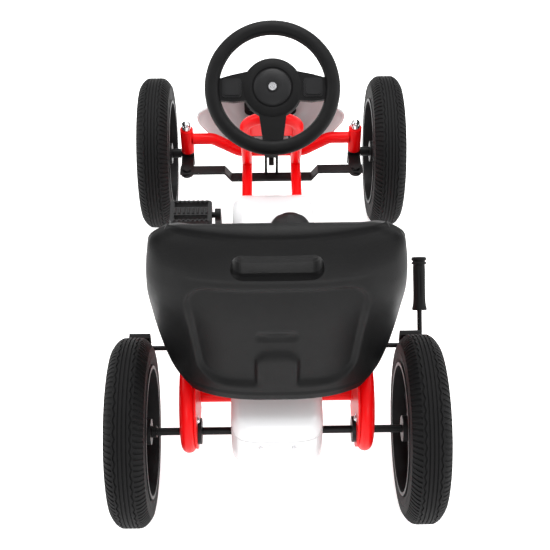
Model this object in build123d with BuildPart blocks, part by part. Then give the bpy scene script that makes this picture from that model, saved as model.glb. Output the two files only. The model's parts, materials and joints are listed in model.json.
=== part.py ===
from build123d import *
import os
from math import asin, atan2, cos, pi, radians, sin, sqrt

# Pedal go-kart. +X is the driver's right, +Y forward, +Z up, millimetres.
# The origin is on the ground, midway between the axles on the centre plane.

os.makedirs("parts", exist_ok=True)

# Overall sizes
wheelbase = 650
half_track = 218
wheel_radius = 145
tyre_width = 66

# Fits and gaps
running_fit = 0.05
part_gap = 0.3
loose_gap = 0.5

# Wheels and axles
rim_radius = 102
rim_wall = 5
rim_width = 56
hub_radius = 20
hub_length = 50
spoke_count = 9
axle_radius = 6
cap_thick = 5
axle_height = wheel_radius
front_y = wheelbase / 2
rear_y = -wheelbase / 2

# Frame tubes
main_tube = 22
rail_tube = 19
hoop_tube = 19.5
tube_wall = 1.8
beam_low = axle_height + 5
beam_high = axle_height + 36
rail_x = 46.5
loop_x = half_track - 83
loop_bend = 66.5
loop_low = axle_height - 45
loop_front_y = rear_y + 179
loop_rear_y = rear_y + 39
cross_rear_y = rear_y + 100

# Kingpins, knuckles and tie rod
kingpin_x = half_track - 56
kingpin_radius = 5
sleeve_radius = 12.5
sleeve_bottom = axle_height + 7
sleeve_height = 53
arm_length = 55
arm_thick = 6
tie_pin_radius = 3
rod_width = 20
rod_thick = 5
rod_drop = 18.8
joggle_inner = 77
joggle_outer = 90

# Steering
column_angle = 50
wheel_centre = (0, front_y - 232, axle_height + 335)
grip_ring = 95
grip_radius = 12.5
hub_pad_radius = 49
shaft_radius = 6
shaft_length = 361
crank_rod_radius = 5
crank_rod_length = 70
button_size = 25
button_x = 64
button_travel = 2

# Drive
chain_pitch = 12.7
ring_teeth = 27
sprocket_teeth = 14
chain_links = 80
crank_height = axle_height + 40
crank_radius = 85
crank_angle = 106
crank_arm_x = 88
crank_arm_thick = 10
pedal_width = 70
pedal_depth = 50
pedal_thick = 20
pedal_pin_radius = 5
chain_x = 15

# Chain case
case_half_width = 70
case_wall = 2.5
case_bottom = axle_height - 61
case_front_top = axle_height + 119
case_rear_top = axle_height + 51
case_front_reach = 87
case_rear_reach = 39
case_split = axle_height + 25
selector_radius = 36
selector_height = 20
selector_x = 28

# Seat
bar_thick = 3
seat_base = loop_low + 2 * loop_bend + main_tube / 2 + bar_thick
seat_top = seat_base + 325
seat_half_width = 178
seat_wall = 22
slot_width = 118
slot_height = 43
slot_z = seat_base + 279

# Brake
brake_y = rear_y + 160
brake_z = axle_height + 5
brake_rod_radius = 4
brake_travel = 14
lever_x = half_track + 20
lever_lean = 42.7
grip_start = 57
grip_length = 88

# Front fairing
fairing_wall = 3
fairing_half_width = kingpin_x - 20
fairing_nose_y = front_y + 137
fairing_low = axle_height - 13
fairing_high = fairing_low + 168
grille_z = fairing_low + 46

column_dir = Vector(0, -cos(radians(column_angle)), sin(radians(column_angle)))
column_up = Vector(0, sin(radians(column_angle)), cos(radians(column_angle)))
wheel_origin = Vector(*wheel_centre)
sides = {"left": -1, "right": 1}


def save(piece, name):
    """Label a finished piece and write its file."""
    piece.part.label = name
    export_step(piece.part, f"parts/{name}.step")


def bar(start, end, radius, mode=Mode.ADD):
    """Round bar between two points."""
    start = Vector(*start)
    run = Vector(*end) - start
    with BuildSketch(Plane(origin=start, z_dir=run)) as section:
        Circle(radius)
    extrude(section.sketch, amount=run.length, mode=mode)


def plate(points, low_x, high_x, mode=Mode.ADD):
    """Flat plate with its outline in the side view, between two X positions."""
    with BuildSketch(Plane.YZ.offset(low_x)) as outline:
        with BuildLine():
            Polyline(*points, close=True)
        make_face()
    extrude(outline.sketch, amount=high_x - low_x, mode=mode)


def tube(points, outer, bends, wall=tube_wall):
    """Hollow tube along straight runs with rounded bends."""
    with BuildPart() as piece:
        with BuildLine() as run:
            FilletPolyline(*points, radius=bends)
        with BuildSketch(Plane(origin=run.line @ 0, z_dir=run.line % 0)):
            Circle(outer / 2)
            Circle(outer / 2 - wall, mode=Mode.SUBTRACT)
        sweep(path=run.line)
    return piece


def straight_tube(start, end, outer, wall=tube_wall):
    """Hollow straight tube between two points."""
    with BuildPart() as piece:
        bar(start, end, outer / 2)
        bar(start, end, outer / 2 - wall, mode=Mode.SUBTRACT)
    return piece


def cut_bar(piece, start, end, radius):
    """Take the round of a neighbour out of a piece."""
    with BuildPart() as cut:
        add(piece.part)
        bar(start, end, radius, mode=Mode.SUBTRACT)
    return cut


def envelope(side, side_bends, front, front_bends, plan, plan_bends, inset=0):
    """Solid that has the given side, front and plan outlines, less an inset all round."""
    reach = 1000
    with BuildPart() as piece:
        with BuildSketch(Plane.YZ):
            with BuildLine():
                FilletPolyline(*side, radius=side_bends, close=True)
            make_face()
            if inset:
                offset(amount=-inset, kind=Kind.INTERSECTION)
        extrude(amount=reach, both=True)
        with BuildSketch(Plane.XZ):
            with BuildLine():
                FilletPolyline(*front, radius=front_bends, close=True)
            make_face()
            if inset:
                offset(amount=-inset, kind=Kind.INTERSECTION)
        extrude(amount=reach, both=True, mode=Mode.INTERSECT)
        with BuildSketch(Plane.XY):
            with BuildLine():
                FilletPolyline(*plan, radius=plan_bends, close=True)
            make_face()
            if inset:
                offset(amount=-inset, kind=Kind.INTERSECTION)
        extrude(amount=reach, both=True, mode=Mode.INTERSECT)
    return piece


def mirrored(points):
    """Closed outline from its right half, listed from the bottom centre to the top centre."""
    return list(points) + [(-x, v) for x, v in reversed(points) if x > 0]


# Front beam: a dropped tube between the two kingpin sleeves
beam_points = [(-kingpin_x + sleeve_radius - 1, front_y, beam_high),
               (-kingpin_x + 50, front_y, beam_high),
               (-kingpin_x + 100, front_y, beam_low)]
beam_points += [(-x, y, z) for x, y, z in reversed(beam_points)]
front_beam = tube(beam_points, main_tube, 24)
sleeve_top = sleeve_bottom + sleeve_height
for side in sides.values():
    front_beam = cut_bar(front_beam, (side * kingpin_x, front_y, sleeve_bottom),
                         (side * kingpin_x, front_y, sleeve_top), sleeve_radius)
save(front_beam, "front_beam")

# Cross tubes between the side loops
loop_high = loop_low + 2 * loop_bend
loop_mid = loop_low + loop_bend
cross_front_y = loop_front_y + sqrt(loop_bend**2 - (beam_low - loop_mid)**2)
cross_ends = {"front": (cross_front_y, beam_low), "rear": (cross_rear_y, loop_low)}
cross_reach = loop_x - 5

# Side loops: closed stadium tubes that carry the rear axle and the seat
def loop_path():
    """Closed path of a side loop in its own plane."""
    Line((loop_rear_y, loop_low), (loop_front_y, loop_low))
    ThreePointArc((loop_front_y, loop_low), (loop_front_y + loop_bend, loop_mid), (loop_front_y,
                                                                                   loop_high))
    Line((loop_front_y, loop_high), (loop_rear_y, loop_high))
    ThreePointArc((loop_rear_y, loop_high), (loop_rear_y - loop_bend, loop_mid), (loop_rear_y, loop_low))


def side_loop(x, radius):
    """Solid stadium ring of round section."""
    with BuildPart() as piece:
        with BuildLine(Plane.YZ.offset(x)) as run:
            loop_path()
        with BuildSketch(Plane(origin=(x, loop_rear_y, loop_low), z_dir=(0, 1, 0))):
            Circle(radius)
        sweep(path=run.line)
    return piece


loop_solids = {}
for name, side in sides.items():
    loop_solids[name] = side_loop(side * loop_x, main_tube / 2)
    loop_core = side_loop(side * loop_x, main_tube / 2 - tube_wall)
    with BuildPart() as side_loop_tube:
        add(loop_solids[name].part)
        add(loop_core.part, mode=Mode.SUBTRACT)
    save(side_loop_tube, f"side_loop_{name}")

for name, (cross_y, cross_z) in cross_ends.items():
    with BuildPart() as cross_tube:
        bar((-cross_reach, cross_y, cross_z), (cross_reach, cross_y, cross_z), main_tube / 2)
        bar((-cross_reach, cross_y, cross_z), (cross_reach, cross_y, cross_z),
            main_tube / 2 - tube_wall, mode=Mode.SUBTRACT)
        for loop_solid in loop_solids.values():
            add(loop_solid.part, mode=Mode.SUBTRACT)
    solids = cross_tube.part.solids().sort_by(SortBy.VOLUME)
    with BuildPart() as cross_clean:
        add(solids[-1])
    save(cross_clean, f"cross_tube_{name}")

# Main rails from the beam to the front cross tube, and stays from there to the rear one
for name, side in sides.items():
    rail = straight_tube((side * rail_x, cross_front_y, beam_low), (side * rail_x, front_y, beam_low),
                         rail_tube)
    rail = cut_bar(rail, (-cross_reach, cross_front_y, beam_low), (cross_reach, cross_front_y, beam_low),
                   main_tube / 2)
    rail = cut_bar(rail, (-kingpin_x, front_y, beam_low), (kingpin_x, front_y, beam_low), main_tube / 2)
    save(rail, f"main_rail_{name}")
    stay = straight_tube((side * rail_x, cross_rear_y, loop_low), (side * rail_x, cross_front_y,
                                                                   beam_low), rail_tube)
    for cross_y, cross_z in cross_ends.values():
        stay = cut_bar(stay, (-cross_reach, cross_y, cross_z), (cross_reach, cross_y, cross_z),
                       main_tube / 2)
    stay = cut_bar(stay, (side * rail_x, cross_front_y, beam_low), (side * rail_x, front_y, beam_low),
                   rail_tube / 2)
    save(stay, f"rail_stay_{name}")

# Bearing plates inside the loops, with the spare hitch holes in front of each axle bearing
plate_x = loop_x - main_tube / 2
plate_thick = 3
hitch_radius = 3.2
hitch_pitch = 40
hitch_y = rear_y + 60
plate_front_y = hitch_y + 20
plate_reach = loop_bend + 5
for name, side in sides.items():
    low_x = side * plate_x - (plate_thick if side > 0 else 0)
    with BuildPart() as bearing_plate:
        with BuildSketch(Plane.YZ.offset(low_x)):
            with Locations((loop_rear_y, loop_mid)):
                Circle(plate_reach)
            with Locations(((loop_rear_y + plate_front_y) / 2, loop_mid)):
                Rectangle(plate_front_y - loop_rear_y, 2 * plate_reach)
            with Locations((plate_front_y + plate_reach, loop_mid)):
                Rectangle(2 * plate_reach, 4 * plate_reach, mode=Mode.SUBTRACT)
        extrude(amount=plate_thick)
        bar((side * (plate_x - 20), rear_y, axle_height), (side * (plate_x + 20), rear_y, axle_height), 15,
            mode=Mode.SUBTRACT)
        for hole_z in (loop_mid - hitch_pitch / 2, loop_mid + hitch_pitch / 2):
            bar((side * (plate_x - 20), hitch_y, hole_z), (side * (plate_x + 20), hitch_y, hole_z),
                hitch_radius,
                mode=Mode.SUBTRACT)
    save(bearing_plate, f"bearing_plate_{name}")
    with BuildPart() as axle_bearing:
        bar((side * (plate_x - plate_thick - 6), rear_y, axle_height), (side * plate_x, rear_y,
                                                                        axle_height), 15)
        bar((side * (plate_x - plate_thick - 6), rear_y, axle_height),
            (side * (plate_x - plate_thick), rear_y, axle_height), 20)
        bar((side * (plate_x - 30), rear_y, axle_height), (side * (plate_x + 30), rear_y, axle_height),
            axle_radius + running_fit, mode=Mode.SUBTRACT)
    save(axle_bearing, f"axle_bearing_{name}")

# Seat bars across the tops of the loops
bar_width = 30
seat_bar_z = seat_base - bar_thick / 2
for name, bar_y in (("front", loop_front_y), ("rear", loop_rear_y + 20)):
    with BuildPart() as seat_bar:
        with Locations((0, bar_y, seat_bar_z)):
            Box(2 * loop_x + 10, bar_width, bar_thick)
    save(seat_bar, f"seat_bar_{name}")

# Steering hoop: inclined arch on the rails, under the steering column
hoop_foot = (front_y - 35, beam_low)
hoop_apex = (front_y - 148, axle_height + 207)
hoop_slope = Vector(0, hoop_apex[0] - hoop_foot[0], hoop_apex[1] - hoop_foot[1])
hoop_plane = Plane(origin=(0, *hoop_foot), x_dir=(1, 0, 0), z_dir=Vector(1, 0, 0).cross(hoop_slope))
hoop_height = hoop_slope.length


def hoop(radius):
    """Solid inverted U in the hoop plane."""
    with BuildPart() as piece:
        with BuildLine(hoop_plane) as run:
            Line((-rail_x, 0), (-rail_x, hoop_height - rail_x))
            ThreePointArc((-rail_x, hoop_height - rail_x), (0, hoop_height), (rail_x,
                                                                              hoop_height - rail_x))
            Line((rail_x, hoop_height - rail_x), (rail_x, 0))
        with BuildSketch(Plane(origin=run.line @ 0, z_dir=run.line % 0)):
            Circle(radius)
        sweep(path=run.line)
    return piece


hoop_solid = hoop(hoop_tube / 2)
hoop_core = hoop(hoop_tube / 2 - tube_wall)


def column_point(distance):
    """Point on the column axis, a distance below the wheel centre."""
    return wheel_origin - column_dir * distance


upper_bush_at = 131
lower_bush_at = 335
bush_radius = 12
with BuildPart() as steering_hoop:
    add(hoop_solid.part)
    add(hoop_core.part, mode=Mode.SUBTRACT)
    bar(column_point(upper_bush_at - 40), column_point(upper_bush_at + 40), bush_radius,
        mode=Mode.SUBTRACT)
    for side in sides.values():
        bar((side * rail_x, 0, beam_low), (side * rail_x, front_y + 60, beam_low), rail_tube / 2,
            mode=Mode.SUBTRACT)
        bar((side * rail_x, hoop_foot[0] - 40, beam_low - 11), (side * rail_x, hoop_foot[0] + 40,
                                                                beam_low - 11),
            rail_tube / 2, mode=Mode.SUBTRACT)
hoop_pieces = steering_hoop.part.solids().sort_by(SortBy.VOLUME)
with BuildPart() as steering_hoop_clean:
    add(hoop_pieces[-1])
save(steering_hoop_clean, "steering_hoop")

gusset_thick = 3
gusset_depth = 85
with BuildPart() as hoop_gusset:
    with BuildSketch(hoop_plane.offset(-gusset_thick / 2)):
        with Locations((0, hoop_height - gusset_depth / 2)):
            Rectangle(2 * rail_x, gusset_depth)
        with Locations((0, hoop_height - gusset_depth)):
            SlotOverall(34, 22, rotation=0, mode=Mode.SUBTRACT)
    extrude(amount=gusset_thick)
    add(hoop_solid.part, mode=Mode.SUBTRACT)
    bar(column_point(upper_bush_at - 40), column_point(upper_bush_at + 40), bush_radius,
        mode=Mode.SUBTRACT)
gusset_pieces = hoop_gusset.part.solids().sort_by(SortBy.VOLUME)
with BuildPart() as hoop_gusset_clean:
    add(gusset_pieces[-1])
save(hoop_gusset_clean, "hoop_gusset")

# Column bearings: a bush seated in the top of the hoop, and a bracket with a bush on the beam
with BuildPart() as column_bush:
    bar(column_point(upper_bush_at - 13), column_point(upper_bush_at + 13), bush_radius)
    bar(column_point(upper_bush_at - 20), column_point(upper_bush_at + 20), shaft_radius + running_fit,
        mode=Mode.SUBTRACT)
save(column_bush, "column_bush")

bracket_half = 15
lower_bush = column_point(lower_bush_at)
bracket_y = front_y + main_tube / 2 + 3
with BuildPart() as column_bracket:
    plate([(front_y + 2, beam_low), (bracket_y + 3, beam_low), (bracket_y + 3, lower_bush.Z + 16),
           (lower_bush.Y, lower_bush.Z + 16), (lower_bush.Y, lower_bush.Z + 12),
           (bracket_y, lower_bush.Z + 12), (bracket_y, beam_low + 2)], -bracket_half, bracket_half)
    bar(column_point(lower_bush_at - 8), column_point(lower_bush_at + 8), bush_radius)
    bar(column_point(lower_bush_at - 40), column_point(lower_bush_at + 40), shaft_radius + running_fit,
        mode=Mode.SUBTRACT)
    bar((-kingpin_x, front_y, beam_low), (kingpin_x, front_y, beam_low), main_tube / 2, mode=Mode.SUBTRACT)
save(column_bracket, "column_bracket")

# Kingpin sleeves, bolts with domed nuts, and the steering knuckles below them
knuckle_radius = 12
knuckle_low = axle_height - 27
head_thick = 7
stub_end = half_track + hub_length / 2 - 1
collar_end = half_track - hub_length / 2 - part_gap
tie_y = front_y - arm_length
rod_bottom = axle_height + 1 + part_gap
for name, side in sides.items():
    pin_x = side * kingpin_x
    with BuildPart() as kingpin_sleeve:
        bar((pin_x, front_y, sleeve_bottom), (pin_x, front_y, sleeve_top), sleeve_radius)
        bar((pin_x, front_y, sleeve_bottom), (pin_x, front_y, sleeve_top), kingpin_radius,
            mode=Mode.SUBTRACT)
    save(kingpin_sleeve, f"kingpin_sleeve_{name}")
    with BuildPart() as kingpin_bolt:
        bar((pin_x, front_y, knuckle_low - part_gap), (pin_x, front_y, sleeve_top), kingpin_radius)
        bar((pin_x, front_y, knuckle_low - part_gap - head_thick), (pin_x, front_y,
                                                                    knuckle_low - part_gap), 9)
        bar((pin_x, front_y, sleeve_top), (pin_x, front_y, sleeve_top + 9), 9)
        with Locations((pin_x, front_y, sleeve_top + 9)):
            Sphere(9)
    save(kingpin_bolt, f"kingpin_bolt_{name}")
    with BuildPart() as knuckle:
        bar((pin_x, front_y, knuckle_low), (pin_x, front_y, sleeve_bottom - part_gap), knuckle_radius)
        collar_start = pin_x + side * (sleeve_radius + 1)
        bar((collar_start, front_y, axle_height), (side * collar_end, front_y, axle_height), 9)
        bar((pin_x, front_y, axle_height), (side * stub_end, front_y, axle_height), axle_radius)
        with Locations((pin_x, (front_y + tie_y) / 2, axle_height + 1 - arm_thick / 2)):
            Box(2 * knuckle_radius, arm_length, arm_thick)
        bar((pin_x, tie_y, axle_height + 1 - arm_thick), (pin_x, tie_y, axle_height + 1), knuckle_radius)
        bar((pin_x, tie_y, axle_height), (pin_x, tie_y, rod_bottom + rod_thick + 4), tie_pin_radius)
        bar((pin_x, tie_y, rod_bottom + rod_thick + part_gap), (pin_x, tie_y,
                                                                rod_bottom + rod_thick + 4), 8)
        bar((pin_x, front_y, 0), (pin_x, front_y, sleeve_top), kingpin_radius + running_fit,
            mode=Mode.SUBTRACT)
    save(knuckle, f"knuckle_{name}")

# Tie rod: a flat bar with a joggle under the rails and an upright loop for the steering crank
loop_window = 8
loop_bar = 5
loop_y = tie_y + 7
loop_top = axle_height + 30
slot_half = tie_pin_radius + 0.9
slot_length = 2 * (tie_pin_radius + 4)
rod_end = kingpin_x + 13
with BuildPart() as tie_rod:
    with BuildSketch(Plane.XZ.offset(-(tie_y - rod_width / 2))) as profile:
        with BuildLine():
            half = [(joggle_inner, rod_bottom - rod_drop), (joggle_outer, rod_bottom), (rod_end,
                                                                                        rod_bottom),
                    (rod_end, rod_bottom + rod_thick), (joggle_outer - 1, rod_bottom + rod_thick),
                    (joggle_inner - 1, rod_bottom + rod_thick - rod_drop)]
            Polyline(*half, *[(-x, z) for x, z in reversed(half)], close=True)
        make_face()
    extrude(amount=-rod_width)
    for side in sides.values():
        with BuildSketch(Plane.XY.offset(rod_bottom - 5)) as pin_slot:
            with Locations((side * kingpin_x, tie_y)):
                SlotOverall(slot_length, 2 * slot_half, rotation=90)
        extrude(pin_slot.sketch, amount=20, mode=Mode.SUBTRACT)
    rod_middle_top = rod_bottom + rod_thick - rod_drop
    with BuildSketch(Plane.XZ.offset(-(loop_y + loop_bar / 2))) as crank_loop:
        with Locations((0, (rod_middle_top + loop_top + loop_bar) / 2)):
            Rectangle(2 * (loop_window + loop_bar), loop_top + loop_bar - rod_middle_top)
        with Locations((0, (rod_middle_top + loop_top) / 2)):
            Rectangle(2 * loop_window, loop_top - rod_middle_top, mode=Mode.SUBTRACT)
    extrude(crank_loop.sketch, amount=loop_bar)
save(tie_rod, "tie_rod")

# Steering shaft with its crank end, steering wheel, hub pad and two push buttons
shaft_end = column_point(shaft_length)
crank_tip = shaft_end - column_up * crank_rod_length
wheel_back = 14
with BuildPart() as steering_shaft:
    bar(column_point(wheel_back), shaft_end, shaft_radius)
    with Locations(shaft_end):
        Sphere(shaft_radius)
    bar(shaft_end, crank_tip, crank_rod_radius)
save(steering_shaft, "steering_shaft")

wheel_plane = Plane(origin=wheel_origin, x_dir=(1, 0, 0), z_dir=column_dir)
spoke_thick = 14
with BuildPart() as steering_wheel:
    with BuildSketch(wheel_plane.offset(-wheel_back)) as hub_disc:
        Circle(hub_pad_radius)
    extrude(hub_disc.sketch, amount=wheel_back + 4)
    with BuildSketch(wheel_plane.offset(-spoke_thick + 2)) as spokes:
        with Locations((0, -2)):
            Rectangle(2 * grip_ring, 46)
        with Locations((0, -grip_ring / 2)):
            Trapezoid(48, grip_ring, 82, rotation=180)
    extrude(spokes.sketch, amount=spoke_thick)
    with BuildSketch(Plane(origin=wheel_origin, x_dir=(1, 0, 0), z_dir=column_up)) as grip_section:
        with Locations((grip_ring, 0)):
            Circle(grip_radius)
    revolve(grip_section.sketch, axis=Axis(wheel_origin, column_dir))
    for side in sides.values():
        with BuildSketch(wheel_plane.offset(2)) as pocket:
            with Locations((side * button_x, 0)):
                RectangleRounded(button_size + 2 * part_gap, button_size + 2 * part_gap, 5)
        extrude(pocket.sketch, amount=-6, mode=Mode.SUBTRACT)
save(steering_wheel, "steering_wheel")

with BuildPart() as steering_pad:
    with BuildSketch(wheel_plane.offset(4)):
        Circle(31)
    extrude(amount=5)
    with BuildSketch(wheel_plane.offset(9)):
        Circle(9)
    extrude(amount=1.5)
save(steering_pad, "steering_pad")

for name, side in sides.items():
    with BuildPart() as horn_button:
        with BuildSketch(wheel_plane.offset(2 - 6 + button_travel + part_gap)):
            with Locations((side * button_x, 0)):
                RectangleRounded(button_size, button_size, 4.7)
        extrude(amount=6)
    save(horn_button, f"horn_button_{name}")

# Wheels: foam tyres on moulded spoked rims
def tyre_at(x, y):
    """Tyre of rounded section round a rim."""
    half = tyre_width / 2
    with BuildPart() as piece:
        with BuildSketch(Plane(origin=(x, y, axle_height), x_dir=(1, 0, 0), z_dir=(0, -1, 0))):
            with BuildLine():
                FilletPolyline((-rim_width / 2, rim_radius), (rim_width / 2, rim_radius), (half,
                                                                                           rim_radius + 14),
                               (half, wheel_radius - 13), (half - 13, wheel_radius), (13 - half,
                                                                                      wheel_radius),
                               (-half, wheel_radius - 13), (-half, rim_radius + 14),
                               radius=[0, 0, 5, 9, 9, 9, 9, 5], close=True)
            make_face()
        revolve(axis=Axis((x, y, axle_height), (1, 0, 0)))
    return piece


def rim_at(side, x, y, bore):
    """Rim barrel, spoked web, hub and end cap."""
    with BuildPart() as piece:
        bar((x - rim_width / 2, y, axle_height), (x + rim_width / 2, y, axle_height), rim_radius)
        bar((x - rim_width / 2, y, axle_height), (x + rim_width / 2, y, axle_height),
            rim_radius - rim_wall,
            mode=Mode.SUBTRACT)
        bar((x - 4, y, axle_height), (x + 4, y, axle_height), rim_radius - rim_wall)
        with BuildSketch(Plane(origin=(x - 10, y, axle_height), x_dir=(0, 1, 0), z_dir=(1, 0,
                                                                                        0))) as windows:
            with PolarLocations(63, spoke_count):
                SlotOverall(44, 22)
        extrude(windows.sketch, amount=20, mode=Mode.SUBTRACT)
        bar((x - hub_length / 2, y, axle_height), (x + hub_length / 2, y, axle_height), hub_radius)
        bar((x - hub_length / 2, y, axle_height), (x + hub_length / 2, y, axle_height), bore,
            mode=Mode.SUBTRACT)
        cap_start = x + side * hub_length / 2
        bar((cap_start, y, axle_height), (cap_start + side * cap_thick, y, axle_height), hub_radius - 2)
    return piece


wheel_places = {"front": front_y, "rear": rear_y}
for end, wheel_y in wheel_places.items():
    for name, side in sides.items():
        tyre = tyre_at(side * half_track, wheel_y)
        save(tyre, f"tyre_{end}_{name}")
        driven = end == "rear" and name == "right"
        rim = rim_at(side, side * half_track, wheel_y, axle_radius + (0 if driven else running_fit))
        save(rim, f"rim_{end}_{name}")

# Drive: crank, chainring, chain, sprocket and rear axle
ring_radius = chain_pitch / (2 * sin(pi / ring_teeth))
sprocket_radius = chain_pitch / (2 * sin(pi / sprocket_teeth))
ring_growth = ((ring_teeth - sprocket_teeth) / (2 * pi)) ** 2 * chain_pitch
spare_links = chain_links - (ring_teeth + sprocket_teeth) / 2
half_spare = chain_pitch * spare_links / 4
drive_distance = half_spare + sqrt(half_spare**2 - ring_growth * chain_pitch / 2)
crank_y = rear_y + sqrt(drive_distance**2 - (crank_height - axle_height) ** 2)
roller_radius = 3.9
tooth_tip = 3.4
tooth_width = 3.2


def toothed_ring(y, z, pitch_radius, teeth):
    """Sprocket disc with plain wedge teeth."""
    with BuildSketch(Plane.YZ.offset(chain_x - tooth_width / 2)) as disc:
        with Locations((y, z)):
            Circle(pitch_radius - roller_radius)
            with PolarLocations(pitch_radius - roller_radius + 3, teeth):
                Trapezoid(9, 7.6, 70, rotation=-90)
    extrude(disc.sketch, amount=tooth_width)


with BuildPart() as rear_axle:
    bar((1 - half_track - hub_length / 2, rear_y, axle_height), (half_track + hub_length / 2, rear_y,
                                                                 axle_height),
        axle_radius)
    for side in sides.values():
        collar_start = plate_x + part_gap
        bar((side * collar_start, rear_y, axle_height), (side * (collar_start + 10), rear_y,
                                                         axle_height), 10)
    bar((chain_x - 12, rear_y, axle_height), (chain_x + 12, rear_y, axle_height), 13)
    toothed_ring(rear_y, axle_height, sprocket_radius, sprocket_teeth)
    bar((-half_track + hub_length / 2 + part_gap, rear_y, axle_height),
        (-half_track + hub_length / 2 + part_gap + 8, rear_y, axle_height), 9)
save(rear_axle, "rear_axle")

arm_dir = Vector(0, cos(radians(crank_angle)), sin(radians(crank_angle)))
crank_centre = Vector(0, crank_y, crank_height)
pedal_points = {"left": crank_centre + arm_dir * crank_radius,
                "right": crank_centre - arm_dir * crank_radius}
pedal_gap = 5
with BuildPart() as crank:
    bar((-crank_arm_x, crank_y, crank_height), (crank_arm_x, crank_y, crank_height), axle_radius)
    for name, side in sides.items():
        end = pedal_points[name]
        arm_plane = Plane(origin=(side * crank_arm_x, crank_y, crank_height), x_dir=end - crank_centre,
                          z_dir=(side, 0, 0))
        with BuildSketch(arm_plane) as arm:
            with Locations((crank_radius / 2, 0)):
                SlotCenterToCenter(crank_radius, 22)
        extrude(arm.sketch, amount=crank_arm_thick)
        pin_start = side * (crank_arm_x + crank_arm_thick)
        bar((pin_start, end.Y, end.Z), (pin_start + side * (pedal_gap + pedal_width - 2), end.Y, end.Z),
            pedal_pin_radius)
    bar((chain_x - 8, crank_y, crank_height), (chain_x + 8, crank_y, crank_height), 16)
    toothed_ring(crank_y, crank_height, ring_radius, ring_teeth)
save(crank, "crank")

for name, side in sides.items():
    pedal_point = pedal_points[name]
    pedal_x = side * (crank_arm_x + crank_arm_thick + pedal_gap + pedal_width / 2)
    with BuildPart() as pedal:
        with Locations((pedal_x, pedal_point.Y, pedal_point.Z)):
            Box(pedal_width, pedal_depth, pedal_thick)
        fillet(pedal.edges().filter_by(Axis.Z), 6)
        with Locations(*[(pedal_x, pedal_point.Y + row * 15, pedal_point.Z) for row in (-1, 1)]):
            Box(pedal_width - 14, 11, pedal_thick + 2, mode=Mode.SUBTRACT)
        bar((pedal_x - pedal_width, pedal_point.Y, pedal_point.Z), (pedal_x + pedal_width,
                                                                    pedal_point.Y, pedal_point.Z),
            pedal_pin_radius + running_fit, mode=Mode.SUBTRACT)
    save(pedal, f"pedal_{name}")

# Chain: two bands of side plates, tied by rollers along the straight runs
band_inner = tooth_width / 2 + 0.6
band_thick = 1.2
band_half = 4


def chain_hull(offset_radius, low_x, thick, mode):
    """Belt-shaped prism round both sprockets."""
    with BuildSketch(Plane.YZ.offset(low_x)) as hull:
        with Locations((rear_y, axle_height)):
            Circle(sprocket_radius + offset_radius)
        with Locations((crank_y, crank_height)):
            Circle(ring_radius + offset_radius)
        make_hull()
    extrude(hull.sketch, amount=thick, mode=mode)


line_angle = atan2(crank_height - axle_height, crank_y - rear_y)
wrap_angle = asin((ring_radius - sprocket_radius) / drive_distance)
run_length = sqrt(drive_distance**2 - (ring_radius - sprocket_radius) ** 2)
with BuildPart() as chain:
    for low_x in (chain_x - band_inner - band_thick, chain_x + band_inner):
        chain_hull(band_half, low_x, band_thick, Mode.ADD)
    chain_hull(-band_half, chain_x - 10, 20, Mode.SUBTRACT)
    for run_side in (1, -1):
        normal_angle = line_angle + run_side * (wrap_angle + pi / 2)
        run_angle = line_angle + run_side * wrap_angle
        start_y = rear_y + sprocket_radius * cos(normal_angle)
        start_z = axle_height + sprocket_radius * sin(normal_angle)
        for step in range(2, int(run_length / chain_pitch) - 1):
            roller_y = start_y + step * chain_pitch * cos(run_angle)
            roller_z = start_z + step * chain_pitch * sin(run_angle)
            bar((chain_x - band_inner - 0.1, roller_y, roller_z), (chain_x + band_inner + 0.1, roller_y,
                                                                   roller_z),
                roller_radius - 0.6)
save(chain, "chain")

# Crank carriers: upright plates on the rails with a bored boss
for name, side in sides.items():
    low_x = side * rail_x - 2
    with BuildPart() as crank_carrier:
        plate([(crank_y - 24, beam_low), (crank_y + 24, beam_low), (crank_y + 12, crank_height + 4),
               (crank_y - 12, crank_height + 4)], low_x, low_x + 4)
        bar((side * rail_x - 8, crank_y, crank_height), (side * rail_x + 8, crank_y, crank_height), 13)
        bar((side * rail_x - 20, crank_y, crank_height), (side * rail_x + 20, crank_y, crank_height),
            axle_radius + running_fit, mode=Mode.SUBTRACT)
        bar((side * rail_x, 0, beam_low), (side * rail_x, front_y, beam_low), rail_tube / 2,
            mode=Mode.SUBTRACT)
    save(crank_carrier, f"crank_carrier_{name}")

# Chain case: an upper and a lower shell round the drive
case_front = crank_y + case_front_reach
case_rear = rear_y - case_rear_reach
case_side = [(case_rear, case_bottom), (case_front, case_bottom), (case_front, case_front_top),
             (case_rear, case_rear_top)]
case_plan = [(-case_half_width, case_rear), (case_half_width, case_rear), (case_half_width, case_front),
             (-case_half_width, case_front)]
case_top_slope = (case_front_top - case_rear_top) / (case_front - case_rear)


def case_form(inset):
    """Chain case form, moved in by an inset on each face."""
    with BuildPart() as piece:
        with BuildSketch(Plane.YZ):
            with BuildLine():
                FilletPolyline(*case_side, radius=[36, 80, 80, 34], close=True)
            make_face()
            offset(amount=-inset)
        extrude(amount=case_half_width - inset, both=True)
        with BuildSketch(Plane.XY):
            with BuildLine():
                FilletPolyline(*case_plan, radius=[34, 34, 32, 32], close=True)
            make_face()
            offset(amount=-inset)
        extrude(amount=500, mode=Mode.INTERSECT)
    return piece


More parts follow.
